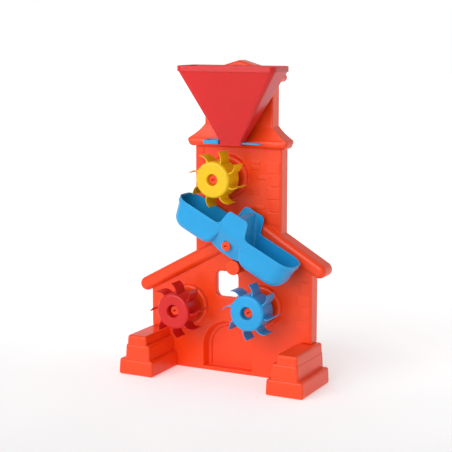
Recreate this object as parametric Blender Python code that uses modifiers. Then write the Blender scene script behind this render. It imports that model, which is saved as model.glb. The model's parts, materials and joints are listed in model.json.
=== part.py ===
"""Free-standing sand and water mill, 600 mm tall.

A hollow blow-moulded house with a tower stands on two stepped feet.  Sand or water goes in the
hopper at the top, past a slide gate, over the top bucket wheel and into a double trough, which
tips to one side or the other and feeds one of the two lower bucket wheels.
+X is the viewer's right, +Y the back and +Z up; the origin is on the floor under the middle.
"""

import math

import bmesh
import bpy
from mathutils import Matrix, Vector

COLLECTION = "sand_mill"

# Driving dimensions, in millimetres.
MM = 0.001
GAP = 0.3  # between pieces that touch
SKIN = 3.0  # thickness of the blow-moulded shell

WALL_FRONT = 36.5
WALL_BACK = 63.5
EDGE = 3.0  # rounding of the wall's front edges
HOUSE_LEFT = -173.6
HOUSE_RIGHT = 168.0
SLOT_LEFT = -148.0  # the lower corners of the wall, which the feet hold
SLOT_RIGHT = 152.0
SLOT_TOP = 76.8

ROOF_RADIUS = 13.5
ROOF_FRONT = WALL_FRONT - 10.0
EAVE_LEFT = (-183.6, 160.0)
EAVE_RIGHT = (183.6, 217.5)
RIDGE = (57.3, 292.0)

TOWER_X = 16.0
TOWER_LEFT = -75.0
TOWER_RIGHT = 105.2
UPPER_HALF = 70.8
CORNICE_HALF = 103.0
CORNICE_Z = 438.0
CORNICE_ROLL = 9.5
FLARE_TOP = 481.0
GABLE_HALF = 86.8
GABLE_TOP = 600.0
GABLE_SLOPE = math.radians(16.5)
GABLE_ROLL = 8.0

WINDOW = (-31.0, 15.6, 149.5, 199.2)
WINDOW_CORNER = 10.0
WINDOW_WEB = WALL_FRONT + 12.5  # behind this depth the hole is wider
WINDOW_WIDER = 8.0
DOOR_X = -6.6
DOOR_HALF = 52.5
DOOR_SPRING = 48.0
DOOR_SILL = 8.0
DOOR_DEPTH = 18.0
DOOR_BEVEL = 5.0

FOOT_CENTRE = 1.9
FOOT_OUTER = 193.1
FOOT_FRONT = -63.5
FOOT_TIERS = (  # bottom, top, outer set-back, inner half-width, front set-back
    (0.0, 31.0, 0.0, 118.4, 0.0),
    (24.0, 60.0, 12.0, 127.0, 4.0),
    (53.0, 76.5, 14.5, 136.0, 8.0),
)
FOOT_ROUND = 4.5
FOOT_DRAFT = 0.045

QUOIN_STEP = 1.2  # how far the corner stones stand out of the wall
QUOIN_WIDE = 29.0
QUOIN_NARROW = 21.5
QUOIN_JOINT = 1.6
HOUSE_COURSES = (98.0, 24.3, 4)  # lowest joint, course height, number of courses
TOWER_COURSES = (296.0, 23.9, 5)
TOWER_STRIP = (-72.0, -56.0, 312.0, 436.0)
BRICKS = ((53.0, 412.0), (53.0, 402.0), (65.0, 384.0), (51.0, 356.0), (62.0, 328.0))
BRICK_HALF = (9.0, 3.5)

WHEEL_FRONT = WALL_FRONT - 70.0
WHEELS = {  # axis x, axis z, blade phase in degrees, depth and radius of the pin seat
    "top": (-3.5, 383.2, 67.5, 10.5, 10.0),
    "left": (-88.3, 127.2, 84.5, 14.0, 11.5),
    "right": (67.5, 139.5, 76.5, 14.0, 11.5),
}
HUB_RADIUS = 34.0
HUB_SHOULDER = 5.0
HUB_SKIN = 2.5
HUB_DEPTH = 43.7
TIP_RADIUS = 53.0
BLADES = 8
BLADE_SWEEP = math.radians(11.5)
BLADE_WIDTH = 33.0
BLADE_THICK = 2.2
BLADE_SAG = 3.2  # how far the middle of a blade bows out of its chord
BLADE_SETBACK = 6.3
BLADE_STEPS = 6
BORE = 4.5
BOSS_RADIUS = 41.5
BOSS_HEIGHT = 8.0

PIN_RADIUS = 4.0
PIN_HEAD = 9.0
PIN_HEAD_THICK = 4.0
PIN_SLOT = 5.5  # depth of the screwdriver slot
PIN_SLOT_TURNS = {"top": -25.0, "left": -28.0, "right": -28.0, "rocker": -4.0}
NUT_RADIUS = 10.0
NUT_THICK = 6.0
SCREW_RADIUS = 1.9
SCREW_HEAD = 4.2
SCREW_HEAD_THICK = 2.7

PIVOT = (28.6, 263.7)
ROCKER_TILT = math.radians(27.4)  # right end down
ROCKER_FRONT = WALL_FRONT - 84.0
ROCKER_BACK = WALL_FRONT - 13.0
ROCKER_MIDDLE = (ROCKER_FRONT + ROCKER_BACK) / 2
ROCKER_HALF = 130.0
ROCKER_RIM = 32.5
ROCKER_FLOOR = -21.8
ROCKER_BAND = 24.0  # underside of the rim band
ROCKER_STEP = 1.6  # how far the rim band stands proud
ROCKER_SKIN = 2.6
FLOOR_ROUND = 17.0
END_ROUND = 26.0
INNER_ROUND = 9.0
TROUGH_DRAFT = math.tan(math.radians(5.0))
END_DRAFT = math.tan(math.radians(9.0))
WEB_STEP = 0.9
FRONT_LEAN = 0.58  # slope of the front web below the rim band
BACK_LEAN = 0.19
HUMP_TOP = 65.2
SADDLE_LEVEL = 35.0  # the saddle is SADDLE_HALF wide to each side at this height
SADDLE_HALF = 13.5
SADDLE_SPREAD = 0.40
RIDGE_CENTRE = 55.5
RIDGE_RADIUS = 7.4
PIN_SEAT = WALL_FRONT - 71.5
PEG = (28.6, 218.8)
PEG_RADIUS = 14.4
PEG_FRONT = WALL_FRONT - 49.5
PEG_SPIGOT = 6.0

HOPPER_X = 20.0
MOUTH_X = 23.3
HOPPER_BACK = WALL_FRONT - 2.0
HOPPER_FRONT = WALL_FRONT - 75.0
HOPPER_HALF = 99.7
HOPPER_TOP = 591.0
HOPPER_SKIN = 2.5
HOPPER_BAND = 10.5
HOPPER_BAND_STEP = 2.0
SPOUT_HALF_X = 23.0
SPOUT_HALF_Y = 12.5
SPOUT_Y = WALL_FRONT - 31.0
SPOUT_TOP = 454.5
SPOUT_BOTTOM = 445.0
GATE_Z = 449.6
GATE_THICK = 2.6
GATE_WIDTH = 14.8
GATE_TRAVEL = 34.0
GRIP_LENGTH = 33.0
GRIP_HALF = 14.0

ORANGE = ("orange_plastic", (0.90, 0.10, 0.02), 0.35, 0.0)
RED = ("red_plastic", (0.60, 0.03, 0.03), 0.4, 0.0)
BLUE = ("blue_plastic", (0.03, 0.35, 0.80), 0.35, 0.0)
YELLOW = ("yellow_plastic", (0.85, 0.60, 0.01), 0.35, 0.0)
STEEL = ("zinc_plated_steel", (0.55, 0.55, 0.55), 0.35, 1.0)
WHEEL_LOOKS = {"top": YELLOW, "left": RED, "right": BLUE}


# ---------------------------------------------------------------- scene and mesh helpers
def clear_scene():
    for item in list(bpy.data.objects):
        bpy.data.objects.remove(item, do_unlink=True)


def new_collection(name):
    made = bpy.data.collections.new(name)
    bpy.context.scene.collection.children.link(made)
    return made


def plastic(name, colour, roughness, metallic):
    material = bpy.data.materials.new(name)
    material.use_nodes = True
    shader = material.node_tree.nodes["Principled BSDF"]
    shader.inputs["Base Color"].default_value = (*colour, 1.0)
    shader.inputs["Roughness"].default_value = roughness
    shader.inputs["Metallic"].default_value = metallic
    return material


def new_object(name, data):
    item = bpy.data.objects.new(name, data)
    bpy.context.scene.collection.objects.link(item)
    return item


def solid(bm):
    """Turns a millimetre bmesh into an object in metres, faces out."""
    bmesh.ops.recalc_face_normals(bm, faces=bm.faces)
    bmesh.ops.transform(bm, matrix=Matrix.Scale(MM, 4), verts=bm.verts)
    mesh = bpy.data.meshes.new("solid")
    bm.to_mesh(mesh)
    bm.free()
    return new_object("solid", mesh)


def evaluated_bmesh(item):
    """The welded millimetre bmesh of a curve or of a mesh with modifiers; removes the item."""
    graph = bpy.context.evaluated_depsgraph_get()
    mesh = bpy.data.meshes.new_from_object(item.evaluated_get(graph))
    mesh.transform(item.matrix_world)
    bm = bmesh.new()
    bm.from_mesh(mesh)
    bmesh.ops.transform(bm, matrix=Matrix.Scale(1.0 / MM, 4), verts=bm.verts)
    bmesh.ops.remove_doubles(bm, verts=bm.verts, dist=0.002)
    for vertex in bm.verts:  # on a 0.001 mm grid, so that flush faces meet exactly
        vertex.co = Vector([round(c, 3) for c in vertex.co])
    bpy.data.objects.remove(item, do_unlink=True)
    bpy.data.meshes.remove(mesh)
    return bm


def combine(target, tools, operation):
    """Applies one EXACT Boolean per tool and removes the tools."""
    for tool in tools:
        modifier = target.modifiers.new("boolean", "BOOLEAN")
        modifier.operation = operation
        modifier.solver = "EXACT"
        modifier.object = tool
        graph = bpy.context.evaluated_depsgraph_get()
        mesh = bpy.data.meshes.new_from_object(target.evaluated_get(graph))
        target.modifiers.clear()
        target.data = mesh
        bpy.data.objects.remove(tool, do_unlink=True)
    return target


def join(target, *tools):
    return combine(target, tools, "UNION")


def cut(target, *tools):
    return combine(target, tools, "DIFFERENCE")


def finish(item, name, look, axis=None):
    """Cleans the mesh, names the piece, gives it its material and puts its origin on its axis."""
    item.name = name
    item.data.name = name
    bm = bmesh.new()
    bm.from_mesh(item.data)
    bmesh.ops.remove_doubles(bm, verts=bm.verts, dist=0.00001)
    bmesh.ops.dissolve_degenerate(bm, dist=0.00001, edges=bm.edges)
    bmesh.ops.triangulate(bm, faces=bm.faces)
    bm.to_mesh(item.data)
    bm.free()
    item.data.materials.clear()
    item.data.materials.append(plastic(name + "_" + look[0], *look[1:]))
    item.data.shade_smooth()
    item.data.set_sharp_from_angle(angle=math.radians(35.0))
    if axis is not None:
        origin = Vector(axis) * MM
        item.data.transform(Matrix.Translation(-origin))
        item.location = origin
    bpy.context.scene.collection.objects.unlink(item)
    bpy.data.collections[COLLECTION].objects.link(item)
    return item


# ---------------------------------------------------------------- shapes
def front_rim(bm, y0):
    return [e for e in bm.edges if all(abs(v.co.y - y0) < 0.01 for v in e.verts)]


def box(x0, x1, y0, y1, z0, z1, bevel=0.0, segments=2):
    bm = bmesh.new()
    bmesh.ops.create_cube(bm, size=1.0)
    middle = Matrix.Translation(((x0 + x1) / 2, (y0 + y1) / 2, (z0 + z1) / 2))
    size = Matrix.Diagonal((x1 - x0, y1 - y0, z1 - z0, 1.0))
    bmesh.ops.transform(bm, matrix=middle @ size, verts=bm.verts)
    if bevel:
        bmesh.ops.bevel(
            bm, geom=bm.edges[:], offset=bevel, segments=segments, profile=0.5, affect="EDGES"
        )
    return solid(bm)


def cylinder(x, z, radius, y0, y1, sides=24, radius_back=None, bevel=0.0):
    """A cylinder or cone along Y from y0 to y1, with an optional bevel on its front rim."""
    bm = bmesh.new()
    bmesh.ops.create_cone(
        bm,
        cap_ends=True,
        segments=sides,
        radius1=radius if radius_back is None else radius_back,
        radius2=radius,
        depth=y1 - y0,
    )
    turn = Matrix.Rotation(math.radians(90), 4, "X")
    place = Matrix.Translation((x, (y0 + y1) / 2, z))
    bmesh.ops.transform(bm, matrix=place @ turn, verts=bm.verts)
    if bevel:
        bmesh.ops.bevel(
            bm, geom=front_rim(bm, y0), offset=bevel, segments=2, profile=0.5, affect="EDGES"
        )
    return solid(bm)


def outline_bmesh(outline, y0, y1):
    """A flat outline of (x, z) points, drawn as a filled 2D curve and extruded from y0 to y1."""
    curve = bpy.data.curves.new("outline", "CURVE")
    curve.dimensions = "2D"
    curve.fill_mode = "BOTH"
    curve.extrude = (y1 - y0) / 2 * MM
    spline = curve.splines.new("POLY")
    spline.points.add(len(outline) - 1)
    for point, (x, z) in zip(spline.points, outline):
        point.co = (x * MM, z * MM, 0.0, 1.0)
    spline.use_cyclic_u = True
    item = new_object("outline", curve)
    place = Matrix.Translation((0.0, (y0 + y1) / 2 * MM, 0.0))
    item.matrix_world = place @ Matrix.Rotation(math.radians(90), 4, "X")
    bpy.context.view_layer.update()
    bm = evaluated_bmesh(item)
    bmesh.ops.dissolve_limit(bm, angle_limit=0.001, verts=bm.verts, edges=bm.edges)
    return bm


def prism(outline, y0, y1, front_bevel=0.0, segments=3):
    bm = outline_bmesh(outline, y0, y1)
    if front_bevel:
        bmesh.ops.bevel(
            bm,
            geom=front_rim(bm, y0),
            offset=front_bevel,
            segments=segments,
            profile=0.5,
            affect="EDGES",
        )
    return solid(bm)


def loft(rings, closed=False):
    """A solid through rings of equal length; closed joins the last ring to the first again."""
    bm = bmesh.new()
    loops = [[bm.verts.new(point) for point in ring] for ring in rings]
    count = len(loops[0])
    followers = loops[1:] + loops[:1] if closed else loops[1:]
    for low, high in zip(loops, followers):
        for i in range(count):
            j = (i + 1) % count
            bm.faces.new((low[i], low[j], high[j], high[i]))
    if not closed:
        bm.faces.new(loops[0])
        bm.faces.new(loops[-1])
    return solid(bm)


def turned(x, z, profile, sides=28):
    """A closed profile of (radius, y) points, turned about the Y axis by a Screw modifier."""
    mesh = bpy.data.meshes.new("profile")
    points = [(radius * MM, 0.0, -y * MM) for radius, y in profile]
    count = len(points)
    mesh.from_pydata(points, [(i, (i + 1) % count) for i in range(count)], [])
    item = new_object("profile", mesh)
    item.matrix_world = Matrix.Translation((x * MM, 0.0, z * MM)) @ Matrix.Rotation(
        math.radians(90), 4, "X"
    )
    screw = item.modifiers.new("turn", "SCREW")
    screw.angle = 2 * math.pi
    screw.steps = sides
    screw.render_steps = sides
    screw.use_merge_vertices = True
    screw.merge_threshold = 0.00001
    bpy.context.view_layer.update()
    return solid(evaluated_bmesh(item))


def arc(cx, cz, radius, start, end, steps):
    """Points on an arc, angles in degrees."""
    points = []
    for i in range(steps + 1):
        angle = math.radians(start + (end - start) * i / steps)
        points.append((cx + radius * math.cos(angle), cz + radius * math.sin(angle)))
    return points


def rounded_ring(x0, x1, y0, y1, z, radii, steps=3):
    """A level rounded rectangle; radii are for the left and the right corners."""
    left, right = radii
    corners = (
        (x1 - right, y1 - right, right, 0),
        (x0 + left, y1 - left, left, 90),
        (x0 + left, y0 + left, left, 180),
        (x1 - right, y0 + right, right, 270),
    )
    ring = []
    for cx, cy, radius, start in corners:
        ring += [(x, y, z) for x, y in arc(cx, cy, radius, start, start + 90, steps)]
    return ring


def mirrored(right):
    """An outline completed with its mirror image."""
    return right + [(-x, z) for x, z in reversed(right)]


# ---------------------------------------------------------------- body
def roof_bar(low, high, radius, y0, y1, bevel):
    """A straight bar from the ridge down to a round eave, seen from the front."""
    slope = math.degrees(math.atan2(high[1] - low[1], high[0] - low[0]))
    outline = arc(low[0], low[1], radius, slope + 90, slope + 270, 8)
    outline += arc(high[0], high[1], radius, slope - 90, slope + 90, 8)
    return prism(outline, y0, y1, bevel)


def roof_height(x):
    """Height of the middle of the roof bars above the floor."""
    eave = EAVE_LEFT if x < RIDGE[0] else EAVE_RIGHT
    return eave[1] + (RIDGE[1] - eave[1]) * (x - eave[0]) / (RIDGE[0] - eave[0])


def house_wall(inset, front, back, bevel=0.0):
    """The wall under the roof and the narrower tongue below it that stands between the feet."""
    left = HOUSE_LEFT + inset
    right = HOUSE_RIGHT - inset
    upper = [
        (left, SLOT_TOP + inset),
        (right, SLOT_TOP + inset),
        (right, roof_height(right) - inset),
        (RIDGE[0], RIDGE[1] - inset),
        (left, roof_height(left) - inset),
    ]
    x0 = SLOT_LEFT + inset
    x1 = SLOT_RIGHT - inset
    z1 = SLOT_TOP + 20.0
    tongue = [(x0, inset), (x1, inset), (x1, z1), (x0, z1)]
    return join(prism(upper, front, back, bevel, 2), prism(tongue, front, back, bevel, 2))


def gable_outline(half, top, bottom):
    """Upper tower with its shallow gable top, from the front."""
    eave = top - half * math.tan(GABLE_SLOPE)
    x0 = TOWER_X - half
    x1 = TOWER_X + half
    return [(x0, bottom), (x1, bottom), (x1, eave), (TOWER_X, top), (x0, eave)]


def flare(inset):
    """Four-sided skirt between the cornice and the narrower upper tower, flush at the back."""
    low_half = CORNICE_HALF - 2 - inset
    high_half = UPPER_HALF - 1 - inset
    rings = []
    for half, front, z in (
        (low_half, WALL_FRONT - 10 + inset, CORNICE_Z + 9 + inset),
        (low_half, WALL_FRONT - 10 + inset, CORNICE_Z + 15 - inset / 2),
        (high_half, WALL_FRONT + 0.6 + inset, FLARE_TOP - inset / 2),
    ):
        x0 = TOWER_X - half
        x1 = TOWER_X + half
        back = WALL_BACK - inset
        rings.append([(x0, front, z), (x1, front, z), (x1, back, z), (x0, back, z)])
    return loft(rings)


def door_niche():
    """Arched recess with slanted jambs, its arch a half circle."""
    rings = []
    for y, inset in ((WALL_FRONT - 1, -2.0), (WALL_FRONT + DOOR_DEPTH, DOOR_BEVEL)):
        half = DOOR_HALF - inset
        sill = DOOR_SILL + max(inset, 0.0) * 0.25
        outline = arc(DOOR_X, DOOR_SPRING, half, 0, 180, 12)
        outline += [(DOOR_X - half, sill), (DOOR_X + half, sill)]
        rings.append([(x, y, z) for x, z in outline])
    return loft(rings)


def window_outline(grow):
    x0, x1, z0, z1 = WINDOW
    corner = WINDOW_CORNER + grow
    ring = rounded_ring(x0 - grow, x1 + grow, z0 - grow, z1 + grow, 0.0, (corner, corner), 3)
    return [(x, z) for x, z, _ in ring]


def quoins():
    """Corner stones on the right, a flat strip on the tower's left and a few single bricks."""
    stones = []
    for right, (start, height, count) in (
        (HOUSE_RIGHT, HOUSE_COURSES),
        (TOWER_RIGHT, TOWER_COURSES),
    ):
        for i in range(count):
            width = QUOIN_WIDE if i % 2 == 0 else QUOIN_NARROW
            low = start + i * height + QUOIN_JOINT / 2
            stones.append((right - width, right - EDGE, low, low + height - QUOIN_JOINT))
    stones.append(TOWER_STRIP)
    half_x, half_z = BRICK_HALF
    stones += [(x - half_x, x + half_x, z - half_z, z + half_z) for x, z in BRICKS]
    bm = bmesh.new()
    for x0, x1, z0, z1 in stones:
        y0 = WALL_FRONT - QUOIN_STEP
        y1 = WALL_FRONT + 1.0
        made = bmesh.ops.create_cube(bm, size=1.0)
        middle = Matrix.Translation(((x0 + x1) / 2, (y0 + y1) / 2, (z0 + z1) / 2))
        size = Matrix.Diagonal((x1 - x0, y1 - y0, z1 - z0, 1.0))
        bmesh.ops.transform(bm, matrix=middle @ size, verts=made["verts"])
    return solid(bm)


def pin_axes():
    axes = {name: data[:2] for name, data in WHEELS.items()}
    axes["rocker"] = PIVOT
    return axes


def screw_axes():
    return {"left": (SLOT_LEFT + 14.0, 38.0), "right": (SLOT_RIGHT - 12.0, 38.0)}


def hopper_screw_axes():
    return {"left": (HOPPER_X - 34.0, 566.0), "right": (HOPPER_X + 34.0, 566.0)}


def make_cavity():
    """The hollow inside the shell, with solid columns left round every hole."""
    front = WALL_FRONT + SKIN
    back = WALL_BACK - SKIN
    left = TOWER_LEFT + SKIN
    right = TOWER_RIGHT - SKIN
    cavity = house_wall(SKIN, front, back)
    join(
        cavity,
        box(left, right, front, back, 240.0, CORNICE_Z + 8),
        flare(SKIN),
        prism(gable_outline(UPPER_HALF - SKIN, GABLE_TOP - 9, CORNICE_Z + 4), front + 0.7, back),
    )
    columns = [(x, z, 14.0) for x, z in pin_axes().values()]
    columns += [(x, z, 8.0) for x, z in screw_axes().values()]
    columns += [(x, z, 6.0) for x, z in hopper_screw_axes().values()]
    columns.append((PEG[0], PEG[1], 11.0))
    for x, z, radius in columns:
        cut(cavity, cylinder(x, z, radius, front - 5, back + 5, 16))
    cut(cavity, prism(window_outline(SKIN), front - 5, back + 5))
    wide = window_outline(WINDOW_WIDER + SKIN)
    cut(cavity, prism(wide, WINDOW_WEB - SKIN, back + 5))
    niche = DOOR_HALF + SKIN
    shield = arc(DOOR_X, DOOR_SPRING, niche, 0, 180, 12)
    shield += [(DOOR_X - niche, -5.0), (DOOR_X + niche, -5.0)]
    cut(cavity, prism(shield, front - 5, WALL_FRONT + DOOR_DEPTH + SKIN))
    return cavity


def make_body():
    body = house_wall(0.0, WALL_FRONT, WALL_BACK, EDGE)
    low, high = 200.0, CORNICE_Z + 6
    tower = [(TOWER_LEFT, low), (TOWER_RIGHT, low), (TOWER_RIGHT, high), (TOWER_LEFT, high)]
    join(body, prism(tower, WALL_FRONT, WALL_BACK, EDGE, 2))
    for eave in (EAVE_LEFT, EAVE_RIGHT):
        join(body, roof_bar(eave, RIDGE, ROOF_RADIUS, ROOF_FRONT, WALL_BACK, 9.0))
    roll = box(
        TOWER_X - CORNICE_HALF,
        TOWER_X + CORNICE_HALF,
        WALL_FRONT - 12.0,
        WALL_BACK,
        CORNICE_Z,
        CORNICE_Z + 2 * CORNICE_ROLL,
        CORNICE_ROLL - 0.5,
        3,
    )
    join(body, roll, flare(0.0))
    upper = gable_outline(UPPER_HALF, GABLE_TOP - 4.0, CORNICE_Z + 12)
    join(body, prism(upper, WALL_FRONT, WALL_BACK, EDGE, 2))
    reach = GABLE_HALF - GABLE_ROLL
    peak = (TOWER_X, GABLE_TOP - GABLE_ROLL)
    for side in (-1, 1):
        eave = (TOWER_X + side * reach, peak[1] - reach * math.tan(GABLE_SLOPE))
        join(body, roof_bar(eave, peak, GABLE_ROLL, WALL_FRONT - 0.8, WALL_BACK, 5.0))
    for x, z, *_ in WHEELS.values():
        front = WALL_FRONT - BOSS_HEIGHT
        join(body, cylinder(x, z, BOSS_RADIUS - 2, front, WALL_FRONT + 1, 32, BOSS_RADIUS, 1.5))
    join(body, cylinder(PIVOT[0], PIVOT[1], 9.0, ROCKER_BACK - 2.6, WALL_FRONT + 1))
    join(body, quoins())
    cut(body, make_cavity())
    cut(body, door_niche())
    cut(body, prism(window_outline(0.0), WALL_FRONT - 20, WALL_BACK + 20))
    cut(body, prism(window_outline(WINDOW_WIDER), WINDOW_WEB, WALL_BACK + 20))
    for x, z in pin_axes().values():
        cut(body, cylinder(x, z, PIN_RADIUS + GAP, WALL_FRONT - 30, WALL_BACK + 5, 20))
        cut(body, cylinder(x, z, NUT_RADIUS + GAP, WALL_BACK - NUT_THICK - 2, WALL_BACK + 5))
    cut(body, cylinder(PEG[0], PEG[1], PEG_SPIGOT + GAP, WALL_FRONT - 5, WALL_BACK - 6, 20))
    for x, z in screw_axes().values():
        cut(body, cylinder(x, z, SCREW_RADIUS + 0.4, WALL_FRONT - 5, WALL_BACK + 5, 16))
        cut(body, cylinder(x, z, SCREW_HEAD + 0.8, WALL_BACK - 5, WALL_BACK + 5, 20))
    for x, z in hopper_screw_axes().values():
        cut(body, cylinder(x, z, SCREW_RADIUS + 0.4, WALL_FRONT - 5, WALL_FRONT + 20, 16))
    cut(body, box(70.0, 80.0, 45.0, 55.0, -5.0, 10.0))  # drain hole underneath
    return finish(body, "body", ORANGE)


# ---------------------------------------------------------------- feet
def foot_tier(side, tier, inset):
    """One tier of a foot, its sides leaning in a little towards its rounded top."""
    bottom, top, outer_back, inner, front_back = tier
    outer = FOOT_CENTRE + side * (FOOT_OUTER - outer_back - inset)
    inner_x = FOOT_CENTRE + side * (inner + inset)
    x0, x1 = sorted((outer, inner_x))
    low = bottom + inset if bottom == 0.0 else bottom - inset
    back = WALL_BACK - inset
    front = FOOT_FRONT + front_back + inset
    block = box(x0, x1, front, back, low, top - inset, 0.0 if inset else FOOT_ROUND)
    middle = (x0 + x1) / 2 * MM
    for vertex in block.data.vertices:
        lean = (vertex.co.z / MM - bottom) * FOOT_DRAFT * MM
        vertex.co.x += lean if vertex.co.x < middle else -lean
        if vertex.co.y < 0.0:
            vertex.co.y += lean
    return block


def foot_block(side, inset):
    """The three tiers of one foot; side is -1 on the left and 1 on the right."""
    tiers = [foot_tier(side, tier, inset) for tier in FOOT_TIERS]
    return join(*tiers)


def make_foot(name, side):
    foot = foot_block(side, 0.0)
    slot = SLOT_LEFT if side < 0 else SLOT_RIGHT
    x0, x1 = sorted((FOOT_CENTRE + side * 90.0, slot + side * GAP))
    cut(foot, box(x0, x1, WALL_FRONT - GAP, WALL_BACK + 5, -5.0, 90.0))
    cavity = foot_block(side, SKIN)
    cut(cavity, box(-250.0, 250.0, WALL_FRONT - GAP - SKIN, 90.0, -5.0, 90.0))
    x, z = screw_axes()[name]
    cut(cavity, cylinder(x, z, 7.0, WALL_FRONT - 24, WALL_FRONT, 12))
    cut(foot, cavity)
    cut(foot, cylinder(x, z, SCREW_RADIUS + 0.4, WALL_FRONT - 20, WALL_FRONT + 5, 16))
    drain = FOOT_CENTRE + side * 155.0
    cut(foot, box(drain - 4, drain + 4, -20.0, -12.0, -5.0, 8.0))
    return finish(foot, name + "_foot", ORANGE)


# ---------------------------------------------------------------- pins, nuts, screws, peg
def make_pin(name, x, z, front):
    """Round head with a slanting screwdriver slot, on a plain shank that runs back to its nut."""
    pin = cylinder(x, z, PIN_HEAD, front, front + PIN_HEAD_THICK, 28, None, 0.8)
    join(pin, cylinder(x, z, PIN_RADIUS, front + 1, WALL_BACK - 2.0, 20))
    half = PIN_RADIUS - 0.2
    slot = box(-half, half, front - 1, front + PIN_SLOT, -1.3, 1.3)
    place = Matrix.Translation((x * MM, 0.0, z * MM))
    turn = Matrix.Rotation(math.radians(PIN_SLOT_TURNS[name]), 4, "Y")
    slot.data.transform(place @ turn)
    cut(pin, slot)
    return finish(pin, "pin_" + name, ORANGE)


def make_nut(name, x, z):
    back = WALL_BACK - 1.0
    nut = cylinder(x, z, NUT_RADIUS, back - NUT_THICK, back, 20)
    cut(nut, cylinder(x, z, PIN_RADIUS + GAP, back - NUT_THICK - 2, back + 2, 20))
    return finish(nut, "nut_" + name, ORANGE)


def screw(x, z, head, tip, name):
    """A slotted screw from its head to its tip, both given as y; it may point either way."""
    turn = 1 if tip > head else -1
    shank = (head + turn * 1.0, tip)
    rim = (head, head + turn * SCREW_HEAD_THICK)
    item = cylinder(x, z, SCREW_HEAD, min(rim), max(rim), 16)
    join(item, cylinder(x, z, SCREW_RADIUS, min(shank), max(shank), 12))
    slot = (head - turn * 1.0, head + turn * 1.0)
    cut(item, box(x - 2.5, x + 2.5, min(slot), max(slot), z - 0.5, z + 0.5))
    return finish(item, name, STEEL)


def make_peg():
    peg = cylinder(PEG[0], PEG[1], PEG_RADIUS, PEG_FRONT, WALL_FRONT - GAP, 36, None, 2.0)
    join(peg, cylinder(PEG[0], PEG[1], PEG_SPIGOT, WALL_FRONT - 2, WALL_BACK - 7, 20))
    return finish(peg, "stop_peg", ORANGE)


# ---------------------------------------------------------------- bucket wheels
def blade(x, z, root_angle):
    """One curved paddle, thin and swept in the turning direction."""
    front = WHEEL_FRONT + BLADE_SETBACK
    outer = []
    inner = []
    for i in range(BLADE_STEPS + 1):
        t = i / BLADE_STEPS
        radius = HUB_RADIUS - 1.5 + t * (TIP_RADIUS - HUB_RADIUS + 1.0)
        angle = root_angle + BLADE_SWEEP * t - BLADE_SAG * 4 * t * (1 - t) / radius
        shift = BLADE_THICK / 2 * (1.0 - 0.35 * t) / radius
        outer.append((radius, angle + shift))
        inner.append((radius, angle - shift))
    outline = outer + inner[::-1]
    points = [(x + r * math.cos(a), z + r * math.sin(a)) for r, a in outline]
    return prism(points, front, front + BLADE_WIDTH)


def make_wheel(name, x, z, phase, seat, seat_radius, look):
    """Cup-shaped hub, open at the back, with a tube round the axle and eight paddles."""
    skin = HUB_SKIN
    front = WHEEL_FRONT
    back = front + HUB_DEPTH
    sleeve_back = WALL_FRONT - BOSS_HEIGHT - 0.6
    floor = front + seat
    shoulder = HUB_RADIUS - HUB_SHOULDER
    profile = arc(shoulder, front + HUB_SHOULDER, HUB_SHOULDER, -90, 0, 3)
    profile += [
        (HUB_RADIUS, back),
        (HUB_RADIUS - skin, back),
        (HUB_RADIUS - skin, front + skin + 1),
        (seat_radius + skin, front + skin + 1),
        (seat_radius + skin, floor + skin),
        (BORE + skin + 1, floor + skin + 3),
        (BORE + skin, sleeve_back),
        (BORE, sleeve_back),
        (BORE, floor),
        (seat_radius, floor),
        (seat_radius + 1.0, front + 1.6),
        (seat_radius + 3.0, front),
    ]
    wheel = turned(x, z, profile)
    for i in range(BLADES):
        join(wheel, blade(x, z, math.radians(phase) + 2 * math.pi * i / BLADES))
    return finish(wheel, "wheel_" + name, look, (x, front, z))


# ---------------------------------------------------------------- rocker, built level on its pivot
def saddle_half(level):
    """Half-width of the hollow under the saddle, which widens downwards."""
    return SADDLE_HALF + (SADDLE_LEVEL - level) * SADDLE_SPREAD


def trough_ring(level, grow, narrow):
    """One level ring of the right-hand trough; grow moves it out, narrow pulls it in all round."""
    lean = max(0.0, ROCKER_BAND - level)
    step = ROCKER_STEP if level < ROCKER_BAND and not grow else 0.0
    pull = narrow - grow
    end = ROCKER_HALF - lean * END_DRAFT - pull - step
    near = saddle_half(level) + pull
    front = ROCKER_FRONT + lean * TROUGH_DRAFT + pull + step
    back = ROCKER_BACK - lean * TROUGH_DRAFT - pull - step
    return rounded_ring(near, end, front, back, level, (INNER_ROUND + grow, END_ROUND + grow), 4)


def trough(side, grow, top, bottom):
    """Loft from the top down to a rounded floor; side is -1 for the left trough."""
    levels = [(top, 0.0)]
    if not grow:
        levels.append((ROCKER_BAND, 0.0))
    levels.append((ROCKER_BAND - 0.6, 0.0))
    for step in range(5):
        angle = math.radians(90.0 * step / 4)
        level = bottom + FLOOR_ROUND * (1 - math.sin(angle))
        levels.append((level, FLOOR_ROUND * (1 - math.cos(angle))))
    rings = [trough_ring(level, grow, narrow) for level, narrow in levels]
    return loft([[(side * x, y, z) for x, y, z in ring] for ring in rings])


def web_prism(outline, grow, front=True, back=True):
    """A prism across the rocker; below the rim band its front and back faces lean inwards."""
    y0 = ROCKER_FRONT if front else ROCKER_MIDDLE - 2.0
    y1 = ROCKER_BACK if back else ROCKER_MIDDLE + 2.0
    bm = outline_bmesh(outline, y0, y1)
    bmesh.ops.bisect_plane(
        bm,
        geom=bm.verts[:] + bm.edges[:] + bm.faces[:],
        dist=0.001,
        plane_co=(0.0, 0.0, ROCKER_BAND),
        plane_no=(0.0, 0.0, 1.0),
    )
    for vertex in bm.verts:
        drop = max(0.0, ROCKER_BAND - vertex.co.z)
        at_front = abs(vertex.co.y - y0) < 0.01
        if at_front and front:
            vertex.co.y += WEB_STEP - grow + drop * FRONT_LEAN
        if back and not at_front:
            vertex.co.y -= WEB_STEP - grow + drop * BACK_LEAN
    return solid(bm)


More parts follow.
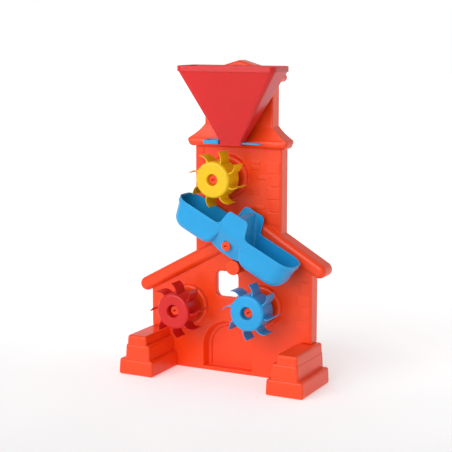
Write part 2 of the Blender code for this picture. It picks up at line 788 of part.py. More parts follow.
def hump_outline(lower):
    """Front or back plate of the rocker; lower is the right half below the rim."""
    right = arc(14.5, HUMP_TOP - 9.0, 9.0, 90, 10, 4)
    right += arc(37.0, ROCKER_RIM + 10.0, 10.0, 190, 270, 3)
    return mirrored(right + [(44.0, ROCKER_RIM - 1.5)] + lower)


def make_rocker():
    """Two deep troughs joined by a hollow saddle between a front and a back plate."""
    stop = PEG_RADIUS + GAP - (PIVOT[1] - PEG[1]) * math.cos(ROCKER_TILT)
    front_foot = [(44.0, 10.0), (40.0, -14.0), (26.0, -20.0), (10.0, -23.4)]
    back_foot = [(44.0, 10.0), (40.0, -14.0), (32.0, stop)]
    rocker = web_prism(hump_outline(front_foot), 0.0, back=False)
    join(rocker, web_prism(hump_outline(back_foot), 0.0, front=False))
    for side in (1, -1):
        join(rocker, trough(side, 0.0, ROCKER_RIM, ROCKER_FLOOR))
    for side in (1, -1):
        floor = ROCKER_FLOOR + ROCKER_SKIN
        cut(rocker, trough(side, -ROCKER_SKIN, ROCKER_RIM + 40.0, floor))
    ridge = arc(0.0, RIDGE_CENTRE, RIDGE_RADIUS, 20, 160, 6)
    shoulder = ridge[0][1]
    ridge += [(-16.0, shoulder), (-16.0, HUMP_TOP + 9.0), (16.0, HUMP_TOP + 9.0), (16.0, shoulder)]
    cut(rocker, prism(ridge, ROCKER_FRONT + ROCKER_SKIN, ROCKER_BACK - ROCKER_SKIN))
    under = [
        (3.2, RIDGE_CENTRE + 4.1),
        (saddle_half(57.0) + 0.4, 57.0),
        (saddle_half(-45.0) + 0.4, -45.0),
    ]
    cut(rocker, web_prism(mirrored(under), -ROCKER_SKIN))
    cup = PIN_HEAD + 0.5
    join(rocker, cylinder(0.0, 0.0, cup + 1.1, PIN_SEAT - 2.0, PIN_SEAT + 13.5))
    cut(rocker, cylinder(0.0, 0.0, cup, ROCKER_FRONT - 10, PIN_SEAT))
    cut(rocker, cylinder(0.0, 0.0, BORE, ROCKER_FRONT - 10, ROCKER_BACK + 10, 20))
    place = Matrix.Translation((PIVOT[0] * MM, 0.0, PIVOT[1] * MM))
    rocker.data.transform(place @ Matrix.Rotation(ROCKER_TILT, 4, "Y"))
    return finish(rocker, "rocker", BLUE, (PIVOT[0], ROCKER_MIDDLE, PIVOT[1]))


# ---------------------------------------------------------------- hopper and gate
def hopper_ring(half_x, front, back, z, radius):
    middle = MOUTH_X if z > SPOUT_TOP else HOPPER_X
    return rounded_ring(middle - half_x, middle + half_x, front, back, z, (radius, radius), 4)


def make_hopper():
    skin = HOPPER_SKIN
    spout_front = SPOUT_Y - SPOUT_HALF_Y
    spout_back = SPOUT_Y + SPOUT_HALF_Y
    band = HOPPER_BAND_STEP
    rim = HOPPER_TOP - HOPPER_BAND
    outside = (  # half-width, front, back, height, corner radius
        (SPOUT_HALF_X, spout_front, spout_back, SPOUT_BOTTOM, 5.0),
        (SPOUT_HALF_X, spout_front, spout_back, SPOUT_TOP, 5.0),
        (HOPPER_HALF - band, HOPPER_FRONT + band, HOPPER_BACK - band, rim, 10.0),
        (HOPPER_HALF, HOPPER_FRONT, HOPPER_BACK, rim + 0.5, 12.0),
        (HOPPER_HALF, HOPPER_FRONT, HOPPER_BACK, HOPPER_TOP, 12.0),
    )
    inner = band + skin
    inside = (
        (HOPPER_HALF - skin, HOPPER_FRONT + skin, HOPPER_BACK - skin, HOPPER_TOP, 9.5),
        (HOPPER_HALF - inner, HOPPER_FRONT + inner, HOPPER_BACK - inner, rim, 7.5),
        (SPOUT_HALF_X - skin, spout_front + skin, spout_back - skin, SPOUT_TOP, 2.5),
        (SPOUT_HALF_X - skin, spout_front + skin, spout_back - skin, SPOUT_BOTTOM, 2.5),
    )
    hopper = loft([hopper_ring(*row) for row in outside + inside], closed=True)
    slot_z = GATE_THICK / 2 + GAP
    slot_y = GATE_WIDTH / 2 + GAP
    slot = box(
        HOPPER_X - 60,
        HOPPER_X + 60,
        SPOUT_Y - slot_y,
        SPOUT_Y + slot_y,
        GATE_Z - slot_z,
        GATE_Z + slot_z,
    )
    cut(hopper, slot)
    for x, z in hopper_screw_axes().values():
        join(hopper, cylinder(x, z, 6.5, HOPPER_BACK - 6.5, WALL_FRONT - GAP, 20))
        cut(hopper, cylinder(x, z, SCREW_HEAD + 0.4, HOPPER_BACK - 30, HOPPER_BACK - 5, 20))
        cut(hopper, cylinder(x, z, SCREW_RADIUS + 0.4, HOPPER_BACK - 20, WALL_FRONT + 5, 16))
    return finish(hopper, "hopper", RED)


def make_gate():
    """Flat slide with a finger loop on the left and a rounded tongue with a port on the right."""
    low = GATE_Z - GATE_THICK / 2
    high = GATE_Z + GATE_THICK / 2
    half = GATE_WIDTH / 2
    spout_left = HOPPER_X - SPOUT_HALF_X
    tongue_end = HOPPER_X + SPOUT_HALF_X + GATE_TRAVEL
    y0 = SPOUT_Y - half
    y1 = SPOUT_Y + half
    tip = (1.0, half - 0.2)
    blade_rings = [rounded_ring(spout_left - 6, tongue_end, y0, y1, z, tip, 4) for z in (low, high)]
    gate = loft(blade_rings)
    x1 = spout_left - GAP
    x0 = x1 - GRIP_LENGTH
    y0 = SPOUT_Y - GRIP_HALF
    y1 = SPOUT_Y + GRIP_HALF
    grip = (low - 1.5, high + 3.5)
    join(gate, loft([rounded_ring(x0, x1, y0, y1, z, (5.0, 2.0)) for z in grip]))
    hole = (low - 5, high + 8)
    cut(gate, loft([rounded_ring(x0 + 3, x1 - 5, y0 + 3, y1 - 3, z, (3.0, 2.0)) for z in hole]))
    port_x0 = spout_left + GATE_TRAVEL + 4
    port_y0 = SPOUT_Y - half + 2.5
    port_y1 = SPOUT_Y + half - 2.5
    port = [
        rounded_ring(port_x0, tongue_end - 8, port_y0, port_y1, z, (4.0, 4.0)) for z in hole
    ]
    cut(gate, loft(port))
    return finish(gate, "slide_gate", BLUE, (spout_left, SPOUT_Y, GATE_Z))


# ---------------------------------------------------------------- assembly
def main():
    clear_scene()
    new_collection(COLLECTION)
    make_body()
    make_foot("left", -1)
    make_foot("right", 1)
    make_hopper()
    make_gate()
    for name, (x, z, phase, seat, seat_radius) in WHEELS.items():
        make_wheel(name, x, z, phase, seat, seat_radius, WHEEL_LOOKS[name])
        make_pin(name, x, z, WHEEL_FRONT + seat - PIN_HEAD_THICK - 0.4)
        make_nut(name, x, z)
    make_rocker()
    make_pin("rocker", PIVOT[0], PIVOT[1], PIN_SEAT - PIN_HEAD_THICK - 0.4)
    make_nut("rocker", PIVOT[0], PIVOT[1])
    make_peg()
    for name, (x, z) in screw_axes().items():
        screw(x, z, WALL_BACK - 1.4, WALL_FRONT - 19.0, "foot_screw_" + name)
    for name, (x, z) in hopper_screw_axes().items():
        screw(x, z, HOPPER_BACK - 8.0, WALL_FRONT + 18.0, "hopper_screw_" + name)


main()
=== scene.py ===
"""Looks of the sand and water mill: each visible moulded piece is made again with its fine shape.

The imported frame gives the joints' pivots, the trough's tilt, the wall's back and top, and the
places of the foot screws. The other sizes are in millimetres and repeat the design's own.
"""

import json
import math

import bmesh
import bpy
from mathutils import Matrix, Vector


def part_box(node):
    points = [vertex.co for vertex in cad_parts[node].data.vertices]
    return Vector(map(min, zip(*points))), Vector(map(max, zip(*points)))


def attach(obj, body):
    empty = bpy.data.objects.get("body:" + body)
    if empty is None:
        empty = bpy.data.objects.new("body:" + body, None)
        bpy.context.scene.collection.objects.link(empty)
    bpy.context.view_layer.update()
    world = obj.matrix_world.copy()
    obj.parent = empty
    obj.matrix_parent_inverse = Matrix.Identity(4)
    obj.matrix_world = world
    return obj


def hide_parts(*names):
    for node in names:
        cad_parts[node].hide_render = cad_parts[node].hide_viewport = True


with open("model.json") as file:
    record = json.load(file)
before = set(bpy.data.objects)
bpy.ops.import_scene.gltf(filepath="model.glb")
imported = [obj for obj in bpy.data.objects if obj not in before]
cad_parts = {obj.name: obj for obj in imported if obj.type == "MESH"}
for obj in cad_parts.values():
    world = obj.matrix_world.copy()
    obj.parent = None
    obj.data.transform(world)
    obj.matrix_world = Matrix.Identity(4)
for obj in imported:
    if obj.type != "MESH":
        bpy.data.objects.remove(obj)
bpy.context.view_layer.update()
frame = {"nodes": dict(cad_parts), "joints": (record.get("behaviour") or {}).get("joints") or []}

# Places given by the frame, in millimetres.
MM = 0.001
JOINTS = {joint["name"]: joint for joint in frame["joints"]}


def joint_axis(name):
    """Where a joint's axis lies, seen from the front, as x and z."""
    x, _, z = JOINTS[name]["pos_m"]
    return x / MM, z / MM


def node_box(name):
    """The low and the high corner of a CAD node's box."""
    low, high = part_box(name)
    return low / MM, high / MM


PIVOT = joint_axis("trough_tip")
ROCKER_TILT = math.radians(JOINTS["trough_tip"]["range_deg"][1] / 2)
WALL_BACK = node_box("body")[1].y
TOP = node_box("body")[1].z

# Wall, roof and tower.
WALL_FRONT = 36.5
EDGE = 3.2  # round on the wall's front edges
HOUSE_LEFT = -173.6
HOUSE_RIGHT = 168.0
SLOT_LEFT = -148.0
SLOT_RIGHT = 152.0
SLOT_TOP = 76.8
TONGUE_OVERLAP = 20.0  # how far the tongue between the feet reaches up into the wall
ROOF_RADIUS = 13.5
ROOF_FRONT = WALL_FRONT - 10.0
ROOF_ROUND = 10.0
EAVE_LEFT = (-183.6, 160.0)
EAVE_RIGHT = (183.6, 217.5)
RIDGE = (57.3, 292.0)
TOWER_X = 16.0
TOWER_LEFT = -75.0
TOWER_RIGHT = 105.2
TOWER_FOOT = 200.0  # hidden in the house wall
UPPER_HALF = 70.8
UPPER_BELOW_TOP = 4.0
CORNICE_HALF = 103.0
CORNICE_Z = 438.0
CORNICE_ROLL = 9.5
CORNICE_FRONT = WALL_FRONT - 12.0
FLARE_FRONT = WALL_FRONT - 10.0
FLARE_DEPTH = 10.6
FLARE_BOTTOM = CORNICE_Z + 15.0
FLARE_TOP = 481.0
FLARE_BEND = 0.10  # how hollow the skirt is, as a share of how much it narrows
GABLE_HALF = 86.8
GABLE_SLOPE = math.radians(16.5)
GABLE_ROLL = 8.0
GABLE_ROUND = 6.0
GABLE_FRONT = WALL_FRONT - 0.8
WINDOW = (-31.0, 15.6, 149.5, 199.2)  # left, right, bottom, top
WINDOW_CORNER = 10.0
WINDOW_ROLL = 3.0
WINDOW_WEB = WALL_FRONT + 12.5  # behind this depth the hole is wider
WINDOW_WIDER = 8.0
DOOR_X = -6.6
DOOR_HALF = 52.5
DOOR_SPRING = 48.0
DOOR_SILL = 8.0
DOOR_SILL_SHARE = 0.25  # the sill moves in by this share of the arch's inset
DOOR_LIP = 2.0
DOOR_DEPTH = 18.0
DOOR_LEDGE_DEPTH = DOOR_DEPTH - 3.5
DOOR_BEVEL = 5.0

# Feet.
FOOT_CENTRE = 1.9
FOOT_OUTER = 193.1
FOOT_FRONT = -63.5
FOOT_TIERS = (  # bottom, top, outer set-back, inner half-width, front set-back
    (0.0, 31.0, 0.0, 118.4, 0.0),
    (24.0, 60.0, 12.0, 127.0, 4.0),
    (53.0, 76.5, 14.5, 136.0, 8.0),
)
FOOT_DRAFT = 0.045
FOOT_ROUND = 4.5
FOOT_SCREW_RECESS = (5.0, 5.0)  # radius, depth

# Corner stones.
QUOIN_STEP = 1.2
QUOIN_WIDE = 29.0
QUOIN_NARROW = 21.5
QUOIN_JOINT = 1.8
QUOIN_ROUND = 0.5
HOUSE_COURSES = (98.0, 24.3, 4)  # height of the lowest stone, height of a course, how many
TOWER_COURSES = (296.0, 23.9, 5)
TOWER_STRIP = (-72.0, -56.0, 312.0, 436.0)  # left, right, bottom, top
BRICKS = ((53.0, 412.0), (53.0, 402.0), (65.0, 384.0), (51.0, 356.0), (62.0, 328.0))
BRICK_HALF = (9.0, 3.5)
BRICK_ROUND = 0.9

# Wheels and pins.
WHEEL_FRONT = WALL_FRONT - 70.0
WHEELS = {  # blade phase in degrees, depth and radius of the pin seat, material
    "top": (67.5, 10.5, 10.0, "yellow_plastic"),
    "left": (84.5, 14.0, 11.5, "red_plastic"),
    "right": (76.5, 14.0, 11.5, "blue_plastic"),
}
HUB_RADIUS = 34.0
HUB_SHOULDER = 5.0
HUB_SKIN = 2.5
HUB_DEPTH = 43.7
TIP_RADIUS = 53.0
BLADES = 8
BLADE_SWEEP = math.radians(11.5)
BLADE_WIDTH = 33.0
BLADE_THICK = 2.2
BLADE_TAPER = 0.35  # share of its thickness that a blade loses towards its tip
BLADE_ROOT = 0.3  # share of the blade that thickens towards the hub
BLADE_ROOT_FLARE = 1.2
BLADE_SAG = 3.2  # how far the middle of a blade bows out of its chord
BLADE_SETBACK = 6.3
BLADE_STEPS = 12
SEAT_LIP = 2.4
BORE = 4.5
BOSS_RADIUS = 41.5
BOSS_HEIGHT = 8.0
BOSS_DRAFT = 2.0
BOSS_ROUND = 4.5
NUT_POCKET = (10.3, 8.0)  # radius, depth
PIN_RADIUS = 4.0
PIN_HEAD = 9.0
PIN_HEAD_THICK = 4.0
PIN_HEAD_GAP = 0.4
PIN_SLOT = 5.5  # depth of the screwdriver slot
PIN_SLOT_HALF = 1.3
PIN_SLOT_TURNS = {"top": -25.0, "left": -28.0, "right": -28.0, "rocker": -4.0}
PEG = (28.6, 218.8)
PEG_RADIUS = 14.4
PEG_FRONT = WALL_FRONT - 49.5
PEG_ROUND = 2.2
GAP = 0.3
PAST = 5.0  # how far a cutting tool stands out of the face it cuts

# Tipping trough, level on its pivot.
ROCKER_FRONT = WALL_FRONT - 84.0
ROCKER_BACK = WALL_FRONT - 13.0
ROCKER_MIDDLE = (ROCKER_FRONT + ROCKER_BACK) / 2
ROCKER_HALF = 130.0
ROCKER_RIM = 32.5
ROCKER_LIP = 0.9
ROCKER_FLOOR = -21.8
ROCKER_BAND = 24.0
ROCKER_STEP = 1.6
ROCKER_SKIN = 2.6
FLOOR_ROUND = 17.0
END_ROUND = 26.0
INNER_ROUND = 9.0
TROUGH_DRAFT = math.tan(math.radians(5.0))
END_DRAFT = math.tan(math.radians(9.0))
WEB_STEP = 0.9
FRONT_LEAN = 0.58
BACK_LEAN = 0.19
PLATE_OVERLAP = 2.0  # how far each plate of the saddle reaches past the middle
PLATE_HALF = 44.0
PIVOT_BOSS_RADIUS = 9.0
PIVOT_BOSS_FRONT = ROCKER_BACK - 2.6
HUMP_TOP = 65.2
HUMP_HALF = 14.5
HUMP_ROUND = 9.0
HUMP_FOOT_HALF = 37.0
HUMP_FOOT_ROUND = 10.0
SADDLE_LEVEL = 35.0
SADDLE_HALF = 13.5
SADDLE_SPREAD = 0.40
RIDGE_CENTRE = 55.5
RIDGE_RADIUS = 7.4
PIN_SEAT = WALL_FRONT - 71.5
PIN_CUP = (2.0, 13.5, 1.1)  # reach before and behind the seat, thickness of its wall

# Hopper and gate.
HOPPER_X = 20.0
MOUTH_X = 23.3
HOPPER_BACK = WALL_FRONT - 2.0
HOPPER_FRONT = WALL_FRONT - 75.0
HOPPER_HALF = 99.7
HOPPER_TOP = 591.0
HOPPER_SKIN = 2.5
HOPPER_BAND = 10.5
HOPPER_BAND_STEP = 2.0
HOPPER_SCREW_APART = 34.0
HOPPER_SCREW_Z = 566.0
HOPPER_PAD = (6.5, 6.5)  # radius, depth
HOPPER_SCREW_HOLE = 4.6
SPOUT_HALF_X = 23.0
SPOUT_HALF_Y = 12.5
SPOUT_Y = WALL_FRONT - 31.0
SPOUT_TOP = 454.5
SPOUT_BOTTOM = 445.0
GATE_Z = 449.6
GATE_THICK = 2.6
GATE_WIDTH = 14.8
GATE_TRAVEL = 34.0
GRIP_LENGTH = 33.0
GRIP_HALF = 14.0
GRIP_BELOW = 1.5
GRIP_ABOVE = 3.5
TONGUE_ROOT = 6.0  # how far the tongue reaches into the finger loop

# Camera and light, in metres and watts.
CAMERA_PLACE = (1.0346, -2.0075, 0.6637)
CAMERA_TURN = (math.radians(80.69), 0.0, math.radians(27.06))
CAMERA_LENS = 97.57
KEY_LIGHT_PLACE = (-0.5, -2.4, 1.5)
KEY_LIGHT_SIZE = (3.0, 2.4)
KEY_LIGHT_POWER = 68.0
OBJECT_MIDDLE = (0.0, 0.0, 0.3)
WHITE = (1.0, 1.0, 1.0)


# ---------------------------------------------------------------- materials
class Nodes:
    """A material's node tree with short calls to add and link nodes."""

    def __init__(self, name):
        self.material = bpy.data.materials.new(name)
        self.material.use_nodes = True
        self.tree = self.material.node_tree
        self.shader = self.tree.nodes["Principled BSDF"]

    def add(self, kind, inputs=None, **settings):
        node = self.tree.nodes.new("ShaderNode" + kind)
        for key, value in settings.items():
            setattr(node, key, value)
        for key, value in (inputs or {}).items():
            if isinstance(value, bpy.types.NodeSocket):
                self.tree.links.new(value, node.inputs[key])
            else:
                node.inputs[key].default_value = value
        return node

    def drive(self, socket, source):
        self.tree.links.new(source, self.shader.inputs[socket])

    def noise(self, place, scale, detail=2.0, roughness=0.5):
        settings = {"Vector": place, "Scale": scale, "Detail": detail, "Roughness": roughness}
        return self.add("TexNoise", settings).outputs["Fac"]

    def spread(self, value, low, high, to_low=0.0, to_high=1.0):
        settings = {
            "Value": value,
            "From Min": low,
            "From Max": high,
            "To Min": to_low,
            "To Max": to_high,
        }
        return self.add("MapRange", settings).outputs["Result"]

    def blend(self, factor, first, second):
        node = self.add("Mix", data_type="RGBA")
        self.tree.links.new(factor, node.inputs["Factor"])
        for socket, colour in (("A", first), ("B", second)):
            target = next(s for s in node.inputs if s.name == socket and s.type == "RGBA")
            if isinstance(colour, bpy.types.NodeSocket):
                self.tree.links.new(colour, target)
            else:
                target.default_value = (*colour, 1.0)
        return next(s for s in node.outputs if s.type == "RGBA")

    def maths(self, operation, first, second):
        node = self.add("Math", operation=operation)
        for i, value in enumerate((first, second)):
            if isinstance(value, bpy.types.NodeSocket):
                self.tree.links.new(value, node.inputs[i])
            else:
                node.inputs[i].default_value = value
        return node.outputs[0]


def scaled(colour, factor):
    return tuple(min(1.0, channel * factor) for channel in colour)


def moulded_plastic(name, colour, worn_and_highlit, roughness, waves, soft_edge):
    """Glossy coloured plastic: fine grain, slow waves of the wall, dull scuffs, and edges made
    paler by rubbed wear and by a painted highlight.
    """
    nodes = Nodes(name)
    place = nodes.add("TexCoord").outputs["Object"]
    slow = nodes.noise(place, scale=14.0)
    cloudy = nodes.noise(place, scale=55.0, detail=3.0)
    grain = nodes.noise(place, scale=1500.0, detail=3.0, roughness=0.65)
    darker = scaled(colour, 0.94)
    lighter = scaled(colour, 1.05)
    shade = nodes.blend(nodes.spread(slow, low=0.3, high=0.7), darker, lighter)
    stretched = nodes.add("Mapping", {"Vector": place, "Scale": (300.0, 300.0, 35.0)})
    scratch = nodes.noise(stretched.outputs["Vector"], scale=1.0, detail=4.0, roughness=0.7)
    patch = nodes.spread(cloudy, low=0.55, high=0.75)
    scuff = nodes.maths("MULTIPLY", nodes.spread(scratch, low=0.60, high=0.72), patch)
    shade = nodes.blend(nodes.maths("MULTIPLY", scuff, 0.22), shade, worn_and_highlit)
    rounded = nodes.add("Bevel", {"Radius": soft_edge * MM}, samples=6).outputs["Normal"]
    flat = nodes.add("NewGeometry").outputs["Normal"]
    meet = nodes.add("VectorMath", {0: rounded, 1: flat}, operation="DOT_PRODUCT")
    # Edges are painted paler: partly rubbed wear, partly a painted highlight.
    edge = nodes.spread(meet.outputs["Value"], low=0.995, high=0.86)
    uneven = nodes.spread(cloudy, low=0.35, high=0.65, to_low=0.25, to_high=0.6)
    rubbed_and_highlit_edge = nodes.maths("MULTIPLY", edge, uneven)
    nodes.drive("Base Color", nodes.blend(rubbed_and_highlit_edge, shade, worn_and_highlit))
    dull = nodes.maths("ADD", nodes.maths("MULTIPLY", cloudy, 0.10), roughness - 0.05)
    dull = nodes.maths("ADD", dull, nodes.maths("MULTIPLY", scuff, 0.25))
    nodes.drive("Roughness", nodes.maths("ADD", dull, nodes.maths("MULTIPLY", edge, 0.06)))
    wavy = nodes.add(
        "Bump", {"Height": slow, "Strength": 1.0, "Distance": waves * MM, "Normal": rounded}
    )
    bump = nodes.add(
        "Bump",
        {
            "Height": grain,
            "Strength": 0.35,
            "Distance": 0.06 * MM,
            "Normal": wavy.outputs["Normal"],
        },
    )
    nodes.drive("Normal", bump.outputs["Normal"])
    nodes.shader.inputs["Subsurface Weight"].default_value = 0.08
    nodes.shader.inputs["Subsurface Radius"].default_value = (1.0, 0.4, 0.2)
    nodes.shader.inputs["Subsurface Scale"].default_value = 1.5 * MM
    nodes.shader.inputs["Specular IOR Level"].default_value = 0.4
    nodes.shader.inputs["Coat Weight"].default_value = 0.05
    nodes.shader.inputs["Coat Roughness"].default_value = 0.12
    return nodes.material


def plated_steel():
    """Bright zinc plate with fine turning marks and dull spots."""
    nodes = Nodes("zinc_plated_steel")
    place = nodes.add("TexCoord").outputs["Object"]
    spots = nodes.noise(place, scale=600.0, detail=3.0)
    marks = nodes.noise(place, scale=4000.0)
    dulled = nodes.spread(spots, low=0.35, high=0.7)
    nodes.drive("Base Color", nodes.blend(dulled, (0.62, 0.62, 0.60), (0.42, 0.41, 0.38)))
    nodes.drive("Roughness", nodes.spread(spots, low=0.3, high=0.7, to_low=0.25, to_high=0.5))
    bump = nodes.add("Bump", {"Height": marks, "Strength": 0.3, "Distance": 0.02 * MM})
    nodes.drive("Normal", bump.outputs["Normal"])
    nodes.shader.inputs["Metallic"].default_value = 1.0
    return nodes.material


PLASTICS = {  # colour, paler colour of scuffs and edges (wear, and on the edges also a painted highlight), roughness, height of the waves and softness of the edges in mm
    "orange_plastic": ((0.90, 0.055, 0.004), (0.94, 0.13, 0.05), 0.32, 0.9, 1.6),
    "red_plastic": ((0.62, 0.009, 0.009), (0.70, 0.05, 0.05), 0.30, 0.25, 0.8),
    "blue_plastic": ((0.010, 0.33, 0.68), (0.06, 0.42, 0.75), 0.30, 0.25, 0.8),
    "yellow_plastic": ((0.80, 0.49, 0.001), (0.88, 0.62, 0.04), 0.30, 0.2, 0.8),
}
MATERIALS = {name: moulded_plastic(name, *looks) for name, looks in PLASTICS.items()}
MATERIALS["zinc_plated_steel"] = plated_steel()


# ---------------------------------------------------------------- mesh helpers
def new_object(name, data):
    item = bpy.data.objects.new(name, data)
    bpy.context.scene.collection.objects.link(item)
    return item


def solid(bm):
    """Turns a millimetre bmesh into an object in metres, faces out."""
    bmesh.ops.recalc_face_normals(bm, faces=bm.faces)
    bmesh.ops.transform(bm, matrix=Matrix.Scale(MM, 4), verts=bm.verts)
    mesh = bpy.data.meshes.new("solid")
    bm.to_mesh(mesh)
    bm.free()
    return new_object("solid", mesh)


def combine(target, tools, operation):
    """Applies one EXACT Boolean per tool and removes the tools."""
    for tool in tools:
        modifier = target.modifiers.new("boolean", "BOOLEAN")
        modifier.operation = operation
        modifier.solver = "EXACT"
        modifier.object = tool
        graph = bpy.context.evaluated_depsgraph_get()
        mesh = bpy.data.meshes.new_from_object(target.evaluated_get(graph))
        target.modifiers.clear()
        target.data = mesh
        bpy.data.objects.remove(tool, do_unlink=True)
    return target


def join(target, *tools):
    return combine(target, tools, "UNION")


def cut(target, *tools):
    return combine(target, tools, "DIFFERENCE")


def present(item, name, body, material, *nodes):
    """Cleans and shades a finished piece and puts it in place of CAD nodes."""
    weld = 0.005 * MM
    bm = bmesh.new()
    bm.from_mesh(item.data)
    bmesh.ops.remove_doubles(bm, verts=bm.verts, dist=weld)
    bmesh.ops.dissolve_degenerate(bm, dist=weld, edges=bm.edges)
    bm.to_mesh(item.data)
    bm.free()
    item.name = name
    item.data.name = name
    item.data.materials.clear()
    item.data.materials.append(MATERIALS[material])
    item.data.shade_smooth()
    item.data.set_sharp_from_angle(angle=math.radians(38.0))
    weighted = item.modifiers.new("even_normals", "WEIGHTED_NORMAL")
    weighted.keep_sharp = True
    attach(item, body)
    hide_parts(*nodes)
    return item


def front_rim(bm, y0):
    """The edges that lie in the plane y = y0."""
    return [e for e in bm.edges if all(abs(v.co.y - y0) < 0.01 for v in e.verts)]


def round_edges(bm, edges, width, segments):
    if width:
        bmesh.ops.bevel(
            bm, geom=edges, offset=width, segments=segments, profile=0.5, affect="EDGES"
        )


def box(x0, x1, y0, y1, z0, z1, bevel=0.0, segments=4):
    bm = bmesh.new()
    bmesh.ops.create_cube(bm, size=1.0)
    middle = Matrix.Translation(((x0 + x1) / 2, (y0 + y1) / 2, (z0 + z1) / 2))
    size = Matrix.Diagonal((x1 - x0, y1 - y0, z1 - z0, 1.0))
    bmesh.ops.transform(bm, matrix=middle @ size, verts=bm.verts)
    round_edges(bm, bm.edges[:], bevel, segments)
    return solid(bm)


def cylinder(x, z, radius, y0, y1, sides=48, radius_back=None, bevel=0.0, segments=4):
    """A cylinder or cone along Y from y0 to y1, with an optional round on its front rim."""
    bm = bmesh.new()
    bmesh.ops.create_cone(
        bm,
        cap_ends=True,
        segments=sides,
        radius1=radius if radius_back is None else radius_back,
        radius2=radius,
        depth=y1 - y0,
    )
    turn = Matrix.Rotation(math.radians(90), 4, "X")
    place = Matrix.Translation((x, (y0 + y1) / 2, z))
    bmesh.ops.transform(bm, matrix=place @ turn, verts=bm.verts)
    round_edges(bm, front_rim(bm, y0), bevel, segments)
    return solid(bm)


def outline_bmesh(outline, y0, y1):
    """A flat outline of (x, z) points, filled and extruded from y0 to y1."""
    bm = bmesh.new()
    near = [bm.verts.new((x, y0, z)) for x, z in outline]
    bm.faces.new(near)
    made = bmesh.ops.extrude_face_region(bm, geom=bm.faces[:])
    far = [item for item in made["geom"] if isinstance(item, bmesh.types.BMVert)]
    bmesh.ops.translate(bm, vec=(0.0, y1 - y0, 0.0), verts=far)
    bmesh.ops.recalc_face_normals(bm, faces=bm.faces)
    return bm


def prism(outline, y0, y1, front_bevel=0.0, segments=5):
    bm = outline_bmesh(outline, y0, y1)
    round_edges(bm, front_rim(bm, y0), front_bevel, segments)
    return solid(bm)


def loft(rings, closed=False):
    """A solid through rings of equal length; closed joins the last ring to the first again."""
    bm = bmesh.new()
    loops = [[bm.verts.new(point) for point in ring] for ring in rings]
    count = len(loops[0])
    followers = loops[1:] + loops[:1] if closed else loops[1:]
    for low, high in zip(loops, followers):
        for i in range(count):
            j = (i + 1) % count
            bm.faces.new((low[i], low[j], high[j], high[i]))
    if not closed:
        bm.faces.new(loops[0])
        bm.faces.new(loops[-1])
    return solid(bm)


def turned(x, z, profile, sides=72):
    """A closed profile of (radius, y) points, turned about the Y axis."""
    rings = []
    for i in range(sides):
        angle = 2 * math.pi * i / sides
        rings.append(
            [(x + r * math.cos(angle), y, z + r * math.sin(angle)) for r, y in profile]
        )
    return loft(rings, closed=True)


def arc(cx, cz, radius, start, end, steps):
    """Points on an arc, angles in degrees."""
    points = []
    for i in range(steps + 1):
        angle = math.radians(start + (end - start) * i / steps)
        points.append((cx + radius * math.cos(angle), cz + radius * math.sin(angle)))
    return points


def quarter_turn(steps):
    """Sine and cosine of the angles from 0 to 90 degrees, for rounding an edge."""
    angles = [math.pi / 2 * i / steps for i in range(steps + 1)]
    return [(math.sin(angle), math.cos(angle)) for angle in angles]


def rounded_ring(x0, x1, y0, y1, z, radii, steps=6):
    """A level rounded rectangle; radii are for the left and the right corners."""
    left, right = radii
    corners = (
        (x1 - right, y1 - right, right, 0),
        (x0 + left, y1 - left, left, 90),
        (x0 + left, y0 + left, left, 180),
        (x1 - right, y0 + right, right, 270),
    )
    ring = []
    for cx, cy, radius, start in corners:
        ring += [(x, y, z) for x, y in arc(cx, cy, radius, start, start + 90, steps)]
    return ring


def mirrored(right):
    """An outline completed with its mirror image."""
    return right + [(-x, z) for x, z in reversed(right)]


# ---------------------------------------------------------------- tower and house
def roof_bar(low, high, radius, y0, y1, bevel):
    """A straight bar from the ridge down to a round eave, seen from the front."""
    slope = math.degrees(math.atan2(high[1] - low[1], high[0] - low[0]))
    outline = arc(low[0], low[1], radius, slope + 90, slope + 270, 18)
    outline += arc(high[0], high[1], radius, slope - 90, slope + 90, 18)
    return prism(outline, y0, y1, bevel, 7)


def roof_height(x):
    """Height of the middle of the roof bars above the floor."""
    eave = EAVE_LEFT if x < RIDGE[0] else EAVE_RIGHT
    return eave[1] + (RIDGE[1] - eave[1]) * (x - eave[0]) / (RIDGE[0] - eave[0])


def house_wall():
    """The wall under the roof and the narrower tongue below it that stands between the feet."""
    upper = [
        (HOUSE_LEFT, SLOT_TOP),
        (HOUSE_RIGHT, SLOT_TOP),
        (HOUSE_RIGHT, roof_height(HOUSE_RIGHT)),
        RIDGE,
        (HOUSE_LEFT, roof_height(HOUSE_LEFT)),
    ]
    top = SLOT_TOP + TONGUE_OVERLAP
    tongue = [(SLOT_LEFT, 0.0), (SLOT_RIGHT, 0.0), (SLOT_RIGHT, top), (SLOT_LEFT, top)]
    wall = prism(upper, WALL_FRONT, WALL_BACK, EDGE)
    return join(wall, prism(tongue, WALL_FRONT, WALL_BACK, EDGE))


def gable_outline(half, top, bottom):
    """Upper tower with its shallow gable top, from the front."""
    eave = top - half * math.tan(GABLE_SLOPE)
    x0 = TOWER_X - half
    x1 = TOWER_X + half
    return [(x0, bottom), (x1, bottom), (x1, eave), (TOWER_X, top), (x0, eave)]


def flare():
    """Four-sided skirt, slightly hollow, between the cornice and the narrower upper tower."""
    low_half = CORNICE_HALF - 2
    high_half = UPPER_HALF - 1
    rings = []
    steps = 8
    for i in range(-1, steps + 1):  # the first ring is sunk into the cornice
        t = max(i, 0) / steps
        bend = FLARE_BEND * math.sin(math.pi * t)
        half = low_half + (high_half - low_half) * (t + bend)
        front = FLARE_FRONT + FLARE_DEPTH * (t + bend)
        z = FLARE_BOTTOM - 6 if i < 0 else FLARE_BOTTOM + (FLARE_TOP - FLARE_BOTTOM) * t
        x0 = TOWER_X - half
        x1 = TOWER_X + half
        rings.append([(x0, front, z), (x1, front, z), (x1, WALL_BACK, z), (x0, WALL_BACK, z)])
    return loft(rings)


